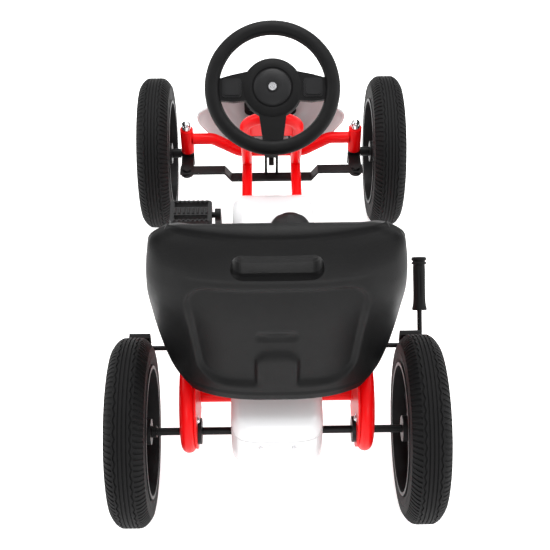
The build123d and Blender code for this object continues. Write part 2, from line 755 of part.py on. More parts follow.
selector_base = case_front_top - case_top_slope * (case_front - selector_radius - 2) + 1.5
case_outer = case_form(0.001)
case_inner = case_form(case_wall)
with BuildPart() as case_shell:
    add(case_outer.part)
    with BuildSketch(Plane.XY.offset(case_split)) as boss:
        with Locations((selector_x, 0)):
            Circle(selector_radius + 2)
    extrude(boss.sketch, amount=selector_base - case_split)
    add(case_inner.part, mode=Mode.SUBTRACT)
    for side in sides.values():
        bar((side * rail_x, 60, beam_low), (side * rail_x, front_y, beam_low), rail_tube / 2 + loose_gap,
            mode=Mode.SUBTRACT)
    for cross_y, cross_z in cross_ends.values():
        bar((-loop_x, cross_y, cross_z), (loop_x, cross_y, cross_z), main_tube / 2 + loose_gap,
            mode=Mode.SUBTRACT)
    bar((-loop_x, rear_y, axle_height), (loop_x, rear_y, axle_height), axle_radius + 3, mode=Mode.SUBTRACT)
    bar((-loop_x, crank_y, crank_height), (loop_x, crank_y, crank_height), axle_radius + 3,
        mode=Mode.SUBTRACT)
    bar((-loop_x, brake_y, brake_z), (loop_x, brake_y, brake_z), brake_rod_radius + 2, mode=Mode.SUBTRACT)
    bar((selector_x, 0, case_split), (selector_x, 0, selector_base + 5), 5 + running_fit,
        mode=Mode.SUBTRACT)
for name, keep in (("upper", Keep.TOP), ("lower", Keep.BOTTOM)):
    with BuildPart() as case_half:
        add(case_shell.part)
        split(bisect_by=Plane.XY.offset(case_split), keep=keep)
    case_solids = case_half.part.solids().sort_by(SortBy.VOLUME)
    with BuildPart() as case_clean:
        add(case_solids[-1])
    save(case_clean, f"chain_case_{name}")

with BuildPart() as selector_knob:
    with BuildSketch(Plane.XY.offset(selector_base + part_gap)):
        with Locations((selector_x, 0)):
            Circle(selector_radius)
    extrude(amount=selector_height, taper=12)
    fillet(selector_knob.faces().sort_by(Axis.Z)[-1].edges(), 5)
    bar((selector_x, 0, selector_base - 12), (selector_x, 0, selector_base + 1), 5)
save(selector_knob, "selector_knob")

# Seat: moulded bucket with a hand slot through the back
seat_back = rear_y - 20
seat_front = seat_back + 285
seat_side = [(seat_front, seat_base + 16), (seat_front, seat_base + 44), (seat_back + 175, seat_base + 95),
             (seat_back + 95, seat_base + 205), (seat_back + 56, seat_top), (seat_back + 18, seat_top - 1),
             (seat_back, seat_base + 200), (seat_back, seat_base), (seat_back + 190, seat_base)]
seat_side_bends = [8, 12, 60, 90, 14, 10, 100, 16, 60]
seat_face = mirrored([(0, seat_base), (seat_half_width - 45, seat_base), (seat_half_width, seat_base + 70),
                      (seat_half_width - 5, seat_base + 250), (seat_half_width - 33, seat_top), (0,
                                                                                                 seat_top + 6)])
seat_face_bends = [0, 40, 60, 60, 50, 0, 50, 60, 60, 40]
seat_plan = mirrored([(0, seat_back), (60, seat_back + 2), (120, seat_back + 22), (seat_half_width,
                                                                                   seat_back + 90),
                      (seat_half_width - 10, seat_front), (0, seat_front)])
seat_plan_bends = [0, 90, 60, 50, 40, 0, 40, 50, 60, 90]
seat_form = envelope(seat_side, seat_side_bends, seat_face, seat_face_bends, seat_plan, seat_plan_bends)
well_side = [(seat_front + 60, seat_base + 42), (seat_front + 60, seat_top + 90), (seat_back + 70,
                                                                                   seat_top + 90),
             (seat_back + 34, seat_base + 120), (seat_back + 60, seat_base + 34)]
well_half = seat_half_width - seat_wall
well_face = mirrored([(0, seat_base + 20), (well_half - 30, seat_base + 20), (well_half, seat_base + 90),
                      (well_half - 12, seat_top + 80), (0, seat_top + 80)])
well_plan = mirrored([(0, seat_back + 30), (100, seat_back + 46), (well_half, seat_back + 100),
                      (well_half - 6, seat_front + 80), (0, seat_front + 80)])
seat_well = envelope(well_side, [20, 1, 1, 60, 40], well_face, [0, 40, 40, 1, 0, 1, 40, 40], well_plan,
                     [0, 80, 40, 1, 0, 1, 40, 80])
with BuildPart() as seat:
    add(seat_form.part)
    add(seat_well.part, mode=Mode.SUBTRACT)
    with BuildSketch(Plane.XZ.offset(-(seat_back - 30))) as hand_slot:
        with Locations((0, slot_z)):
            RectangleRounded(slot_width, slot_height, 16)
    extrude(hand_slot.sketch, amount=-130, mode=Mode.SUBTRACT)
save(seat, "seat")

# Brake: cross rod with a hand lever, and an arm with a pad in front of each rear tyre
pad_angle = 12
pad_thick = 7
pad_height = 22
pad_width = 34
pad_normal = Vector(0, cos(radians(pad_angle)), sin(radians(pad_angle)))
pad_seat = Vector(0, rear_y, axle_height) + pad_normal * (wheel_radius + part_gap)
brake_centre = Vector(0, brake_y, brake_z)
lever_dir = Vector(0, cos(radians(lever_lean)), sin(radians(lever_lean)))
grip_low = brake_centre + lever_dir * grip_start
grip_high = brake_centre + lever_dir * (grip_start + grip_length)


def at_x(point, x):
    """The same point moved to an X position."""
    return Vector(x, point.Y, point.Z)


arm_top = brake_centre + (pad_seat + pad_normal * pad_thick - brake_centre).rotate(Axis.X, -brake_travel)
arm_normal = pad_normal.rotate(Axis.X, -brake_travel)
pad_solids = {}
for name, side in sides.items():
    with BuildPart() as brake_pad:
        with BuildSketch(Plane(origin=at_x(arm_top, side * half_track), x_dir=(1, 0, 0),
                               z_dir=arm_normal)):
            Rectangle(pad_width, pad_height)
        extrude(amount=-pad_thick)
    save(brake_pad, f"brake_pad_{name}")
    pad_solids[name] = brake_pad

with BuildPart() as brake_linkage:
    bar((-half_track - 6, brake_y, brake_z), (lever_x + 5, brake_y, brake_z), brake_rod_radius)
    bar(at_x(brake_centre, lever_x), at_x(grip_high - lever_dir * 6, lever_x), brake_rod_radius)
    for side in sides.values():
        bar(at_x(brake_centre, side * half_track), at_x(arm_top + arm_normal * 4, side * half_track), 5)
        with BuildSketch(Plane(origin=at_x(arm_top, side * half_track), x_dir=(1, 0, 0),
                               z_dir=arm_normal)) as shoe:
            Rectangle(pad_width, pad_height)
        extrude(shoe.sketch, amount=3)
    for pad_solid in pad_solids.values():
        add(pad_solid.part, mode=Mode.SUBTRACT)
save(brake_linkage, "brake_linkage")

with BuildPart() as brake_grip:
    bar(at_x(grip_low, lever_x), at_x(grip_high, lever_x), 10)
    bar(at_x(grip_low, lever_x), at_x(grip_low + lever_dir * 6, lever_x), 12.5)
    bar(at_x(grip_high - lever_dir * 5, lever_x), at_x(grip_high, lever_x), 12.5)
    bar(at_x(brake_centre, lever_x), at_x(grip_high - lever_dir * 6, lever_x), brake_rod_radius,
        mode=Mode.SUBTRACT)
save(brake_grip, "brake_grip")

for name, side in sides.items():
    with BuildPart() as brake_bracket:
        plate([(brake_y - 16, loop_low), (brake_y + 16, loop_low), (brake_y + 9, brake_z + 8),
               (brake_y - 9, brake_z + 8)], side * loop_x - 2, side * loop_x + 2)
        bar((side * loop_x - 10, brake_y, brake_z), (side * loop_x + 10, brake_y, brake_z),
            brake_rod_radius + running_fit, mode=Mode.SUBTRACT)
        add(loop_solids[name].part, mode=Mode.SUBTRACT)
    save(brake_bracket, f"brake_bracket_{name}")

# Front fairing: a thin moulded nose open at the back, with its grille and bracket
fairing_back = front_y + 8
fairing_side = [(fairing_back, fairing_low + 8), (fairing_back + 90, fairing_low), (fairing_nose_y,
                                                                                    fairing_low + 43),
                (fairing_nose_y - 16, fairing_low + 93), (fairing_nose_y - 70, fairing_high - 15),
                (fairing_back, fairing_high)]
fairing_face = mirrored([(0, fairing_low), (62, fairing_low + 4), (fairing_half_width, fairing_low + 64),
                         (fairing_half_width, fairing_low + 94), (88, fairing_low + 130),
                         (50, fairing_high - 4), (0, fairing_high)])
fairing_plan = mirrored([(0, fairing_back), (fairing_half_width, fairing_back),
                         (fairing_half_width - 18, front_y + 62),
                         (76, front_y + 122), (0, fairing_nose_y)])
fairing_outer = envelope(fairing_side, [1, 18, 22, 30, 30, 1], fairing_face, [0, 18, 10, 12, 24, 24, 0,
                                                                              24, 24, 12, 10, 18],
                         fairing_plan, [0, 4, 30, 40, 0, 40, 30, 4])
fairing_cut = envelope(fairing_side, [1, 18, 22, 30, 30, 1], fairing_face,
                       [0, 18, 10, 12, 24, 24, 0, 24, 24, 12, 10, 18], fairing_plan, [0, 4, 30, 40, 0,
                                                                                      40, 30, 4],
                       inset=fairing_wall)
with BuildPart() as fairing:
    add(fairing_outer.part)
    add(fairing_cut.part, mode=Mode.SUBTRACT)
    with Locations((0, fairing_back, axle_height + 55)):
        Box(2 * fairing_half_width + 20, 2 * fairing_wall + 4, 300, mode=Mode.SUBTRACT)
    with BuildSketch(Plane.XZ.offset(-(fairing_back + 40))) as grille_window:
        with Locations((0, grille_z)):
            RectangleRounded(96, 34, 10)
    extrude(grille_window.sketch, amount=-150, mode=Mode.SUBTRACT)
save(fairing, "fairing")

with BuildPart() as fairing_grille:
    with BuildSketch(Plane.XZ.offset(-(fairing_nose_y - 34))):
        with Locations((0, grille_z)):
            RectangleRounded(96 + 8, 34 + 8, 12)
    extrude(amount=4)
    with Locations(*[(0, fairing_nose_y - 34, grille_z + row * 9) for row in (-1, 0, 1)]):
        Box(84, 20, 3.5, mode=Mode.SUBTRACT)
    add(fairing.part, mode=Mode.SUBTRACT)
save(fairing_grille, "fairing_grille")

with BuildPart() as fairing_bracket:
    for side in sides.values():
        plate([(front_y, beam_low + 4), (fairing_nose_y, beam_low + 4), (fairing_nose_y, beam_low + 16),
               (front_y, beam_low + 16)], side * 36 - 2, side * 36 + 2)
    with Locations((0, front_y + 40, beam_low + 10)):
        Box(2 * 36, 16, 4)
    add(fairing_grille.part, mode=Mode.SUBTRACT)
    add(fairing.part, mode=Mode.SUBTRACT)
    bar((-kingpin_x, front_y, beam_low), (kingpin_x, front_y, beam_low), main_tube / 2, mode=Mode.SUBTRACT)
save(fairing_bracket, "fairing_bracket")
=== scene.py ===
import json
from math import atan2, cos, exp, pi, radians, sin, sqrt, tan

import bmesh
import bpy
from mathutils import Matrix, Vector


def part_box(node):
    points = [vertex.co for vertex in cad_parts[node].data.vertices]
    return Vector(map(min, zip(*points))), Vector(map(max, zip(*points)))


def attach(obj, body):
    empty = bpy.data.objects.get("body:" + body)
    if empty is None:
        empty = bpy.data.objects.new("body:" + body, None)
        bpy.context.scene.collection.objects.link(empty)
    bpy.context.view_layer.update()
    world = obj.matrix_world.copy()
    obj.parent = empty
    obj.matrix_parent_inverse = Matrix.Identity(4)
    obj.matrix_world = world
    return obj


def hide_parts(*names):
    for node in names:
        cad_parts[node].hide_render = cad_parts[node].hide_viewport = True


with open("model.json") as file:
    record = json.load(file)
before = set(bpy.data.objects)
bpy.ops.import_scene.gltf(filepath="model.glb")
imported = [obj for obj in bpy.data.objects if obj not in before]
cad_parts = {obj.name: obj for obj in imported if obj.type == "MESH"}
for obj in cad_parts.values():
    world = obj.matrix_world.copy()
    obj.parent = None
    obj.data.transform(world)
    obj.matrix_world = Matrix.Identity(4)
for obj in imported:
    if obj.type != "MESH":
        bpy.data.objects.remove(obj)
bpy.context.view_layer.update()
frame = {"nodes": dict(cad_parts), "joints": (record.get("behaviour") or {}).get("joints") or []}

# The room: a seamless white floor, with large soft lights above and behind the kart.
# The camera stands behind and above the driver, a little to the left.
scene = bpy.context.scene
world = bpy.data.worlds.new("studio")
world.use_nodes = True
world.node_tree.nodes["Background"].inputs["Color"].default_value = (1, 1, 1, 1)
world.node_tree.nodes["Background"].inputs["Strength"].default_value = 0.75
scene.world = world
scene.view_settings.view_transform = "Standard"

camera_data = bpy.data.cameras.new("camera")
camera_data.lens = 68.7
camera_data.sensor_width = 36
camera = bpy.data.objects.new("camera", camera_data)
camera.location = (-0.018, -1.240, 1.503)
camera.rotation_euler = (radians(90 - 47.62), 0, radians(-0.945))
scene.collection.objects.link(camera)
scene.camera = camera


def soft_light(name, place, aim, size, power):
    """Square area light that faces a point."""
    data = bpy.data.lights.new(name, "AREA")
    data.size = size
    data.energy = power
    light = bpy.data.objects.new(name, data)
    light.location = place
    light.rotation_euler = (Vector(aim) - Vector(place)).to_track_quat("-Z", "Y").to_euler()
    scene.collection.objects.link(light)
    return light


soft_light("overhead", (0.2, 0.5, 2.6), (0, 0, 0.2), 1.8, 34)
soft_light("left_side", (-2.2, 0.3, 1.5), (0, 0, 0.3), 1.3, 22)
soft_light("right_side", (2.2, -0.2, 1.5), (0, 0, 0.3), 1.3, 22)
soft_light("behind", (0.1, -2.2, 1.3), (0, -0.3, 0.4), 1.2, 14)
soft_light("ahead", (0.0, 1.0, 1.6), (0, 0.36, 0.2), 0.8, 9)


class Wire:
    """An output of a node in a finish, which can be used in plain sums."""

    def __init__(self, finish, socket):
        self.finish = finish
        self.socket = socket

    def sum_with(self, operation, first, second):
        return self.finish.node("ShaderNodeMath", {"operation": operation}, {0: first, 1: second})

    def __add__(self, other):
        return self.sum_with("ADD", self, other)

    def __radd__(self, other):
        return self.sum_with("ADD", other, self)

    def __sub__(self, other):
        return self.sum_with("SUBTRACT", self, other)

    def __rsub__(self, other):
        return self.sum_with("SUBTRACT", other, self)

    def __mul__(self, other):
        return self.sum_with("MULTIPLY", self, other)

    def __rmul__(self, other):
        return self.sum_with("MULTIPLY", other, self)


class Finish:
    """A material: its main shader's plain values, and the nodes that vary its surface."""

    def __init__(self, name, **plain):
        self.material = bpy.data.materials.new(name)
        self.material.use_nodes = True
        self.tree = self.material.node_tree
        self.shader = self.tree.nodes["Principled BSDF"]
        for socket, value in plain.items():
            self.shader.inputs[socket.replace("_", " ")].default_value = value
        self.place = self.node("ShaderNodeTexCoord", {}, {}, "Object")

    def node(self, kind, settings, sockets, output=0):
        """Makes a node, sets its settings, then fills its sockets with values or wires."""
        made = self.tree.nodes.new(kind)
        for name, value in settings.items():
            if name == "stops":
                for element, (position, colour) in zip(made.color_ramp.elements, value):
                    element.position = position
                    element.color = colour
            else:
                setattr(made, name, value)
        for name, value in sockets.items():
            if isinstance(value, Wire):
                self.tree.links.new(value.socket, made.inputs[name])
            else:
                made.inputs[name].default_value = value
        return Wire(self, made.outputs[output])

    def noise(self, scale, detail=3):
        """Soft random value from 0 to 1 at a scale per metre."""
        return self.node("ShaderNodeTexNoise", {}, {"Vector": self.place, "Scale": scale, "Detail": detail})

    def feed(self, socket, wire):
        self.tree.links.new(wire.socket, self.shader.inputs[socket])

    def tint(self, mask, low, high):
        """Base colour that runs from one colour to another with a mask."""
        mix = self.node("ShaderNodeMix", {"data_type": "RGBA"}, {"Factor": mask, 6: low, 7: high}, 2)
        self.feed("Base Color", mix)

    def bump(self, height, depth):
        """Relief of a depth in metres from a height of 0 to 1."""
        self.feed("Normal", self.node("ShaderNodeBump", {}, {"Height": height, "Distance": depth,
                                                             "Strength": 1.0}))


floor_finish = Finish("studio_floor", Roughness=0.9, Emission_Color=(1, 1, 1, 1), Emission_Strength=0.62)
floor_finish.tint(floor_finish.noise(0.6), (0.93, 0.93, 0.93, 1), (0.96, 0.96, 0.96, 1))
floor_mesh = bpy.data.meshes.new("floor")
floor_mesh.from_pydata([(-30, -30, 0), (30, -30, 0), (30, 30, 0), (-30, 30, 0)], [], [(0, 1, 2, 3)])
floor_mesh.materials.append(floor_finish.material)
floor = bpy.data.objects.new("floor", floor_mesh)
scene.collection.objects.link(floor)


# Frame: steel tubes and plates, welded and powder coated in glossy red.
# The coating pools a little, so it has a fine orange peel and a faint change of depth.
red_coat = Finish("red_powder_coat", Specular_IOR_Level=0.12, Coat_Weight=0.08, Coat_Roughness=0.1)
red_coat.tint(red_coat.noise(9), (0.80, 0.001, 0.002, 1), (0.88, 0.001, 0.003, 1))
red_coat.feed("Roughness", red_coat.noise(160) * 0.06 + 0.34)
red_coat.bump(red_coat.noise(900, 2), 0.00003)


def wear(nodes, finish):
    """Gives CAD nodes a finish in place of their plain one."""
    for name in nodes:
        node = frame["nodes"][name]
        if not node.material_slots:
            node.data.materials.append(finish.material)
        for slot in node.material_slots:
            slot.link = "OBJECT"
            slot.material = finish.material


both = ("left", "right")
red_nodes = ["front_beam", "cross_tube_front", "cross_tube_rear", "steering_hoop", "hoop_gusset",
             "seat_bar_front", "seat_bar_rear"]
red_nodes += [f"{part}_{side}" for side in both for part in
              ("side_loop", "main_rail", "rail_stay", "bearing_plate", "kingpin_sleeve", "brake_bracket",
               "crank_carrier")]
wear(red_nodes, red_coat)


def weld(name, centre, axis, radius, thick, body="frame"):
    """Bead of weld round a joint: a ring of overlapping ripples."""
    turns = 40
    sides = 8
    place = Matrix.Translation(centre) @ Vector(axis).to_track_quat("Z", "Y").to_matrix().to_4x4()
    mesh = bmesh.new()
    rings = []
    for i in range(turns):
        angle = 2 * pi * i / turns
        swell = thick * (1 + 0.16 * (i % 2))
        ring = []
        for j in range(sides):
            around = 2 * pi * j / sides
            reach = radius + swell * cos(around)
            point = Vector((reach * cos(angle), reach * sin(angle), swell * sin(around)))
            ring.append(mesh.verts.new(place @ point))
        rings.append(ring)
    for i in range(turns):
        for j in range(sides):
            here, following = rings[i], rings[(i + 1) % turns]
            mesh.faces.new((here[j], following[j], following[(j + 1) % sides], here[(j + 1) % sides]))
    return finish_piece(name, mesh, red_coat, body)


def finish_piece(name, mesh, finish, body, sharp=40):
    """Turns a bmesh into a piece that rides on a body, smooth except across sharp edges."""
    bmesh.ops.recalc_face_normals(mesh, faces=mesh.faces)
    for face in mesh.faces:
        face.smooth = True
    for edge in mesh.edges:
        edge.smooth = len(edge.link_faces) != 2 or edge.calc_face_angle(0) < radians(sharp)
    data = bpy.data.meshes.new(name)
    mesh.to_mesh(data)
    mesh.free()
    data.materials.append(finish.material)
    piece = bpy.data.objects.new(name, data)
    scene.collection.objects.link(piece)
    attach(piece, body)
    return piece


def middle(node):
    """Centre of a CAD node's box."""
    low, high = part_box(node)
    return (Vector(low) + Vector(high)) / 2


tube_radius = 0.011
for side in both:
    loop = middle(f"side_loop_{side}")
    for cross in ("cross_tube_front", "cross_tube_rear"):
        low, high = (Vector(corner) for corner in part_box(cross))
        inward = 1 if side == "left" else -1
        joint = Vector((loop.x + inward * tube_radius, (low.y + high.y) / 2, (low.z + high.z) / 2))
        weld(f"weld_{cross}_{side}", joint, (1, 0, 0), tube_radius, 0.0018)
    rail_high = Vector(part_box(f"main_rail_{side}")[1])
    rail = middle(f"main_rail_{side}")
    weld(f"weld_rail_{side}", Vector((rail.x, rail_high.y - 0.003, rail.z)), (0, 1, 0), 0.0097, 0.0017)


# Small bright fixings: zinc plated hexagon bolts with washers, on the plates and the beam.
# The domed nuts on the kingpins are chrome plated.
plated_steel = Finish("bright_plated_steel", Metallic=1.0)
plated_steel.tint(plated_steel.noise(120), (0.62, 0.62, 0.63, 1), (0.78, 0.78, 0.80, 1))
plated_steel.feed("Roughness", plated_steel.noise(300) * 0.16 + 0.10)
wear(["kingpin_bolt_left", "kingpin_bolt_right"], plated_steel)


def lathe(mesh, profile, place, turns=40):
    """Turned surface: a profile of (radius, height) points spun about Z, moved by a matrix."""
    rings = []
    for radius, height in profile:
        if radius < 1e-6:
            rings.append([mesh.verts.new(place @ Vector((0, 0, height)))])
            continue
        ring = []
        for i in range(turns):
            angle = 2 * pi * i / turns
            ring.append(mesh.verts.new(place @ Vector((radius * cos(angle), radius * sin(angle), height))))
        rings.append(ring)
    for low, high in zip(rings, rings[1:]):
        for i in range(turns):
            j = (i + 1) % turns
            corners = [low[i % len(low)], low[j % len(low)], high[j % len(high)], high[i % len(high)]]
            unique = list(dict.fromkeys(corners))
            if len(unique) > 2:
                mesh.faces.new(unique)


def facing(point, direction):
    """Matrix that puts a piece's Z along a direction at a point."""
    return Matrix.Translation(point) @ Vector(direction).to_track_quat("Z", "Y").to_matrix().to_4x4()


def screw(name, point, direction, radius, body="frame"):
    """Pan-head cross screw on a washer."""
    mesh = bmesh.new()
    place = facing(point, direction)
    lathe(mesh, [(0, -0.001), (radius * 1.5, -0.001), (radius * 1.5, 0.0006), (radius * 1.42, 0.0009),
                 (radius, 0.0009), (radius, radius * 0.35), (radius * 0.8, radius * 0.62),
                 (radius * 0.34, radius * 0.74), (radius * 0.16, radius * 0.2), (0, radius * 0.2)],
                 place, 24)
    return finish_piece(name, mesh, plated_steel, body, 35)


for side in both:
    inward = 1 if side == "left" else -1
    plate_low, plate_high = (Vector(corner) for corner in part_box(f"bearing_plate_{side}"))
    face_x = plate_high.x if side == "left" else plate_low.x
    axle = middle(f"axle_bearing_{side}")
    for number, (dy, dz) in enumerate(((0.0, 0.029), (0.0, -0.029))):
        screw(f"bearing_screw_{side}_{number}", Vector((face_x, axle.y + dy, axle.z + dz)),
              (inward, 0, 0), 0.0048)
    loop = middle(f"side_loop_{side}")
    for bar_name in ("seat_bar_front", "seat_bar_rear"):
        bar_low, bar_high = (Vector(corner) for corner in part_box(bar_name))
        place = Vector((loop.x, (bar_low.y + bar_high.y) / 2, bar_low.z))
        screw(f"{bar_name}_screw_{side}", place + Vector((-inward * 0.012, 0, 0)), (0, 0, -1), 0.004)


# Tyres: solid EVA foam, moulded black, with ribs round the crown and sipes over both shoulders.
# They are stretched on to the rims and have no tube.
foam_rubber = Finish("eva_foam", Specular_IOR_Level=0.15)
foam_dust = foam_rubber.noise(26, 5)
foam_rubber.tint(foam_dust, (0.003, 0.003, 0.0032, 1), (0.009, 0.009, 0.0094, 1))
foam_rubber.feed("Roughness", foam_dust * 0.22 + 0.58)
foam_rubber.bump(foam_rubber.noise(1400, 2) * 0.6 + foam_rubber.noise(300, 2) * 0.4, 0.00025)

tyre_low, tyre_high = (Vector(corner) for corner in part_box("tyre_front_right"))
tyre_radius = (tyre_high.z - tyre_low.z) / 2
tyre_half = (tyre_high.x - tyre_low.x) / 2 - 0.004
tyre_shift = 0.002
tread_scale = tyre_half / 0.033
groove = 0.0020
sipes = 104
zigzags = 52
sipe_stations = ((0.0, 0), (0.07, 1), (0.36, 1), (0.43, 0), (0.70, 0))
crown_columns = [(0.0, 1, "rib"), (0.0010, 1, "rib"), (0.0014, 0, "rib"), (0.0056, 0, "rib"),
                 (0.0060, 1, "rib"), (0.0076, 1, "rib"), (0.0080, 0, "rib"), (0.0118, 0, "zigzag"),
                 (0.0123, 1, "zigzag"), (0.0141, 1, "zigzag"), (0.0146, 0, "zigzag"), (0.0172, 0, "rib"),
                 (0.0180, 1, "sipe"), (0.0215, 1, "sipe"), (0.0250, 1, "sipe"), (0.0285, 1, "sipe"),
                 (0.0312, 1, "sipe"), (0.0324, 0.6, "sipe"), (0.0327, 0, "rib")]
side_columns = [(1.0, 0.127), (1.0, 0.1185), (0.985, 0.1180), (0.985, 0.1165), (1.0, 0.1160), (1.0, 0.110),
                (0.97, 0.1055), (0.90, 0.1028)]


def crown_radius(x):
    """Tyre radius across the crown, falling away at the shoulder."""
    edge = max(0.0, (x - 0.010) / (tyre_half - 0.010))
    return tyre_radius - 0.0150 * edge ** 2.3 - 0.0004 * (x / tyre_half) ** 2


def tyre_column(x, depth, kind, side, station, number):
    """Point of the tread: side offset, angle and radius."""
    angle_share, cut = sipe_stations[station]
    angle = 2 * pi * (number + angle_share) / sipes
    x *= tread_scale
    radius = crown_radius(x)
    if kind == "zigzag":
        phase = (angle * zigzags / (2 * pi)) % 1
        x += 0.0013 * (4 * abs(phase - 0.5) - 1)
        radius -= groove * depth
    elif kind == "sipe":
        angle += 0.024 * (x - 0.015) / 0.014 * side
        radius -= groove * depth * cut
    else:
        radius -= groove * depth
    return side * x, angle, radius


tyre_mesh = bmesh.new()
tyre_rings = []
for number in range(sipes):
    for station in range(len(sipe_stations)):
        ring = []
        for side in (-1, 1):
            column = [tyre_column(x, depth, kind, side, station, number) for x, depth,
                      kind in crown_columns]
            base_angle = 2 * pi * (number + sipe_stations[station][0]) / sipes
            column += [(side * share * tyre_half, base_angle, radius) for share, radius in side_columns]
            ring += list(reversed(column)) if side < 0 else column[1:]
        verts = [tyre_mesh.verts.new((x, radius * cos(angle), radius * sin(angle))) for x, angle,
                 radius in ring]
        tyre_rings.append(verts)
for here, following in zip(tyre_rings, tyre_rings[1:] + tyre_rings[:1]):
    for j in range(len(here)):
        k = (j + 1) % len(here)
        tyre_mesh.faces.new((here[j], here[k], following[k], following[j]))

tyre_bodies = {"front_left": "wheel_front_left", "front_right": "wheel_front_right",
               "rear_left": "wheel_rear_left", "rear_right": "rear_axle_body"}
first_tyre = finish_piece("tread_front_left", tyre_mesh, foam_rubber, "wheel_front_left", 38)
for place, body in tyre_bodies.items():
    if place == "front_left":
        tread = first_tyre
    else:
        tread = bpy.data.objects.new(f"tread_{place}", first_tyre.data)
        scene.collection.objects.link(tread)
    outward = -1 if "left" in place else 1
    tread.matrix_world = Matrix.Translation(middle(f"tyre_{place}") + Vector((outward * tyre_shift, 0, 0)))
    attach(tread, body)
    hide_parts(f"tyre_{place}")


# Rims, hubs and small mouldings: black polypropylene with a satin, lightly grained surface.
# Each rim is one moulding with slotted windows, and the wheel cap snaps over the axle end.
satin_black = Finish("satin_black_moulding", Specular_IOR_Level=0.2)
satin_black.tint(satin_black.noise(40), (0.007, 0.007, 0.0075, 1), (0.013, 0.013, 0.014, 1))
satin_black.feed("Roughness", satin_black.noise(220) * 0.12 + 0.34)
satin_black.bump(satin_black.noise(1500, 2), 0.00012)
wear([f"rim_{place}" for place in tyre_bodies], satin_black)
wear([f"axle_bearing_{side}" for side in both] + ["column_bush"], satin_black)

for place, body in tyre_bodies.items():
    centre = middle(f"tyre_{place}")
    mesh = bmesh.new()
    for spoke in range(9):
        angle = 2 * pi * (spoke + 0.5) / 9
        arm = []
        for reach, half_width, height in ((0.019, 0.0070, 0.0150), (0.055, 0.0048, 0.0105),
                                          (0.096, 0.0062, 0.0085)):
            for across, rise in ((-1, 0.0035), (-0.55, height), (0.55, height), (1, 0.0035)):
                point = Vector((rise, reach, across * half_width))
                arm.append(mesh.verts.new(Matrix.Rotation(angle, 4, "X") @ point))
        for step in range(2):
            for j in range(3):
                k = step * 4 + j
                mesh.faces.new((arm[k], arm[k + 1], arm[k + 5], arm[k + 4]))
    geometry = mesh.verts[:] + mesh.edges[:] + mesh.faces[:]
    copy = bmesh.ops.duplicate(mesh, geom=geometry)
    bmesh.ops.scale(mesh, vec=(-1, 1, 1), verts=[v for v in copy["geom"] if isinstance(v,
                                                                                       bmesh.types.BMVert)])
    spokes = finish_piece(f"rim_spokes_{place}", mesh, satin_black, body, 30)
    spokes.matrix_world = Matrix.Translation(centre)
    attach(spokes, body)


# Axle, knuckles, cranks, brake rod and tie rod: steel, coated satin black.
# The coating is thin, so tool marks and small scuffs show through it.
black_coat = Finish("satin_black_coat", Specular_IOR_Level=0.15)
black_coat.tint(black_coat.noise(60, 5), (0.004, 0.004, 0.0043, 1), (0.009, 0.009, 0.0095, 1))
black_coat.feed("Roughness", black_coat.noise(140) * 0.18 + 0.30)
black_coat.bump(black_coat.noise(800, 2), 0.00015)
wear(["knuckle_left", "knuckle_right", "rear_axle", "crank", "brake_linkage", "tie_rod", "steering_shaft",
      "column_bracket", "fairing_bracket"], black_coat)

bare_steel = Finish("oiled_chain_steel", Metallic=0.9)
bare_steel.tint(bare_steel.noise(300), (0.20, 0.19, 0.18, 1), (0.34, 0.33, 0.32, 1))
bare_steel.feed("Roughness", bare_steel.noise(200) * 0.2 + 0.3)
wear(["chain"], bare_steel)


# Seat: one blow-moulded black polyethylene bucket, with a thick rolled edge, a hand slot
# through the back and a pressed-in panel behind. It is bolted to two flat bars.
seat_shell = Finish("moulded_seat_plastic", Specular_IOR_Level=0.13)
seat_shell.tint(seat_shell.noise(18, 4), (0.002, 0.002, 0.0022, 1), (0.004, 0.004, 0.0042, 1))
seat_grain = seat_shell.node("ShaderNodeTexVoronoi", {}, {"Vector": seat_shell.place, "Scale": 620})
seat_shell.feed("Roughness", seat_shell.noise(90) * 0.10 + 0.38)
seat_shell.bump(seat_grain * 0.7 + seat_shell.noise(1300, 2) * 0.3, 0.00022)

seat_low = Vector(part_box("seat")[0])


def along(points, share):
    """Point at a share from 0 to 1 of the way through a smooth line of points."""
    span = share * (len(points) - 1)
    i = min(int(span), len(points) - 2)
    t = span - i
    before = points[max(i - 1, 0)]
    after = points[min(i + 2, len(points) - 1)]
    result = []
    for a, b, c, d in zip(before, points[i], points[i + 1], after):
        result.append(b + 0.5 * t * (c - a + t * (2 * a - 5 * b + 4 * c - d + t * (3 * (b - c) + d - a))))
    return result


def ease(value):
    """Smooth step from 0 to 1."""
    value = min(1.0, max(0.0, value))
    return value * value * (3 - 2 * value)


def rounded_box(x, z, half_x, half_z, corner):
    """Distance outside a rounded rectangle, negative inside."""
    dx = abs(x) - half_x + corner
    dz = abs(z) - half_z + corner
    outside = sqrt(max(dx, 0) ** 2 + max(dz, 0) ** 2)
    return outside + min(max(dx, dz), 0) - corner


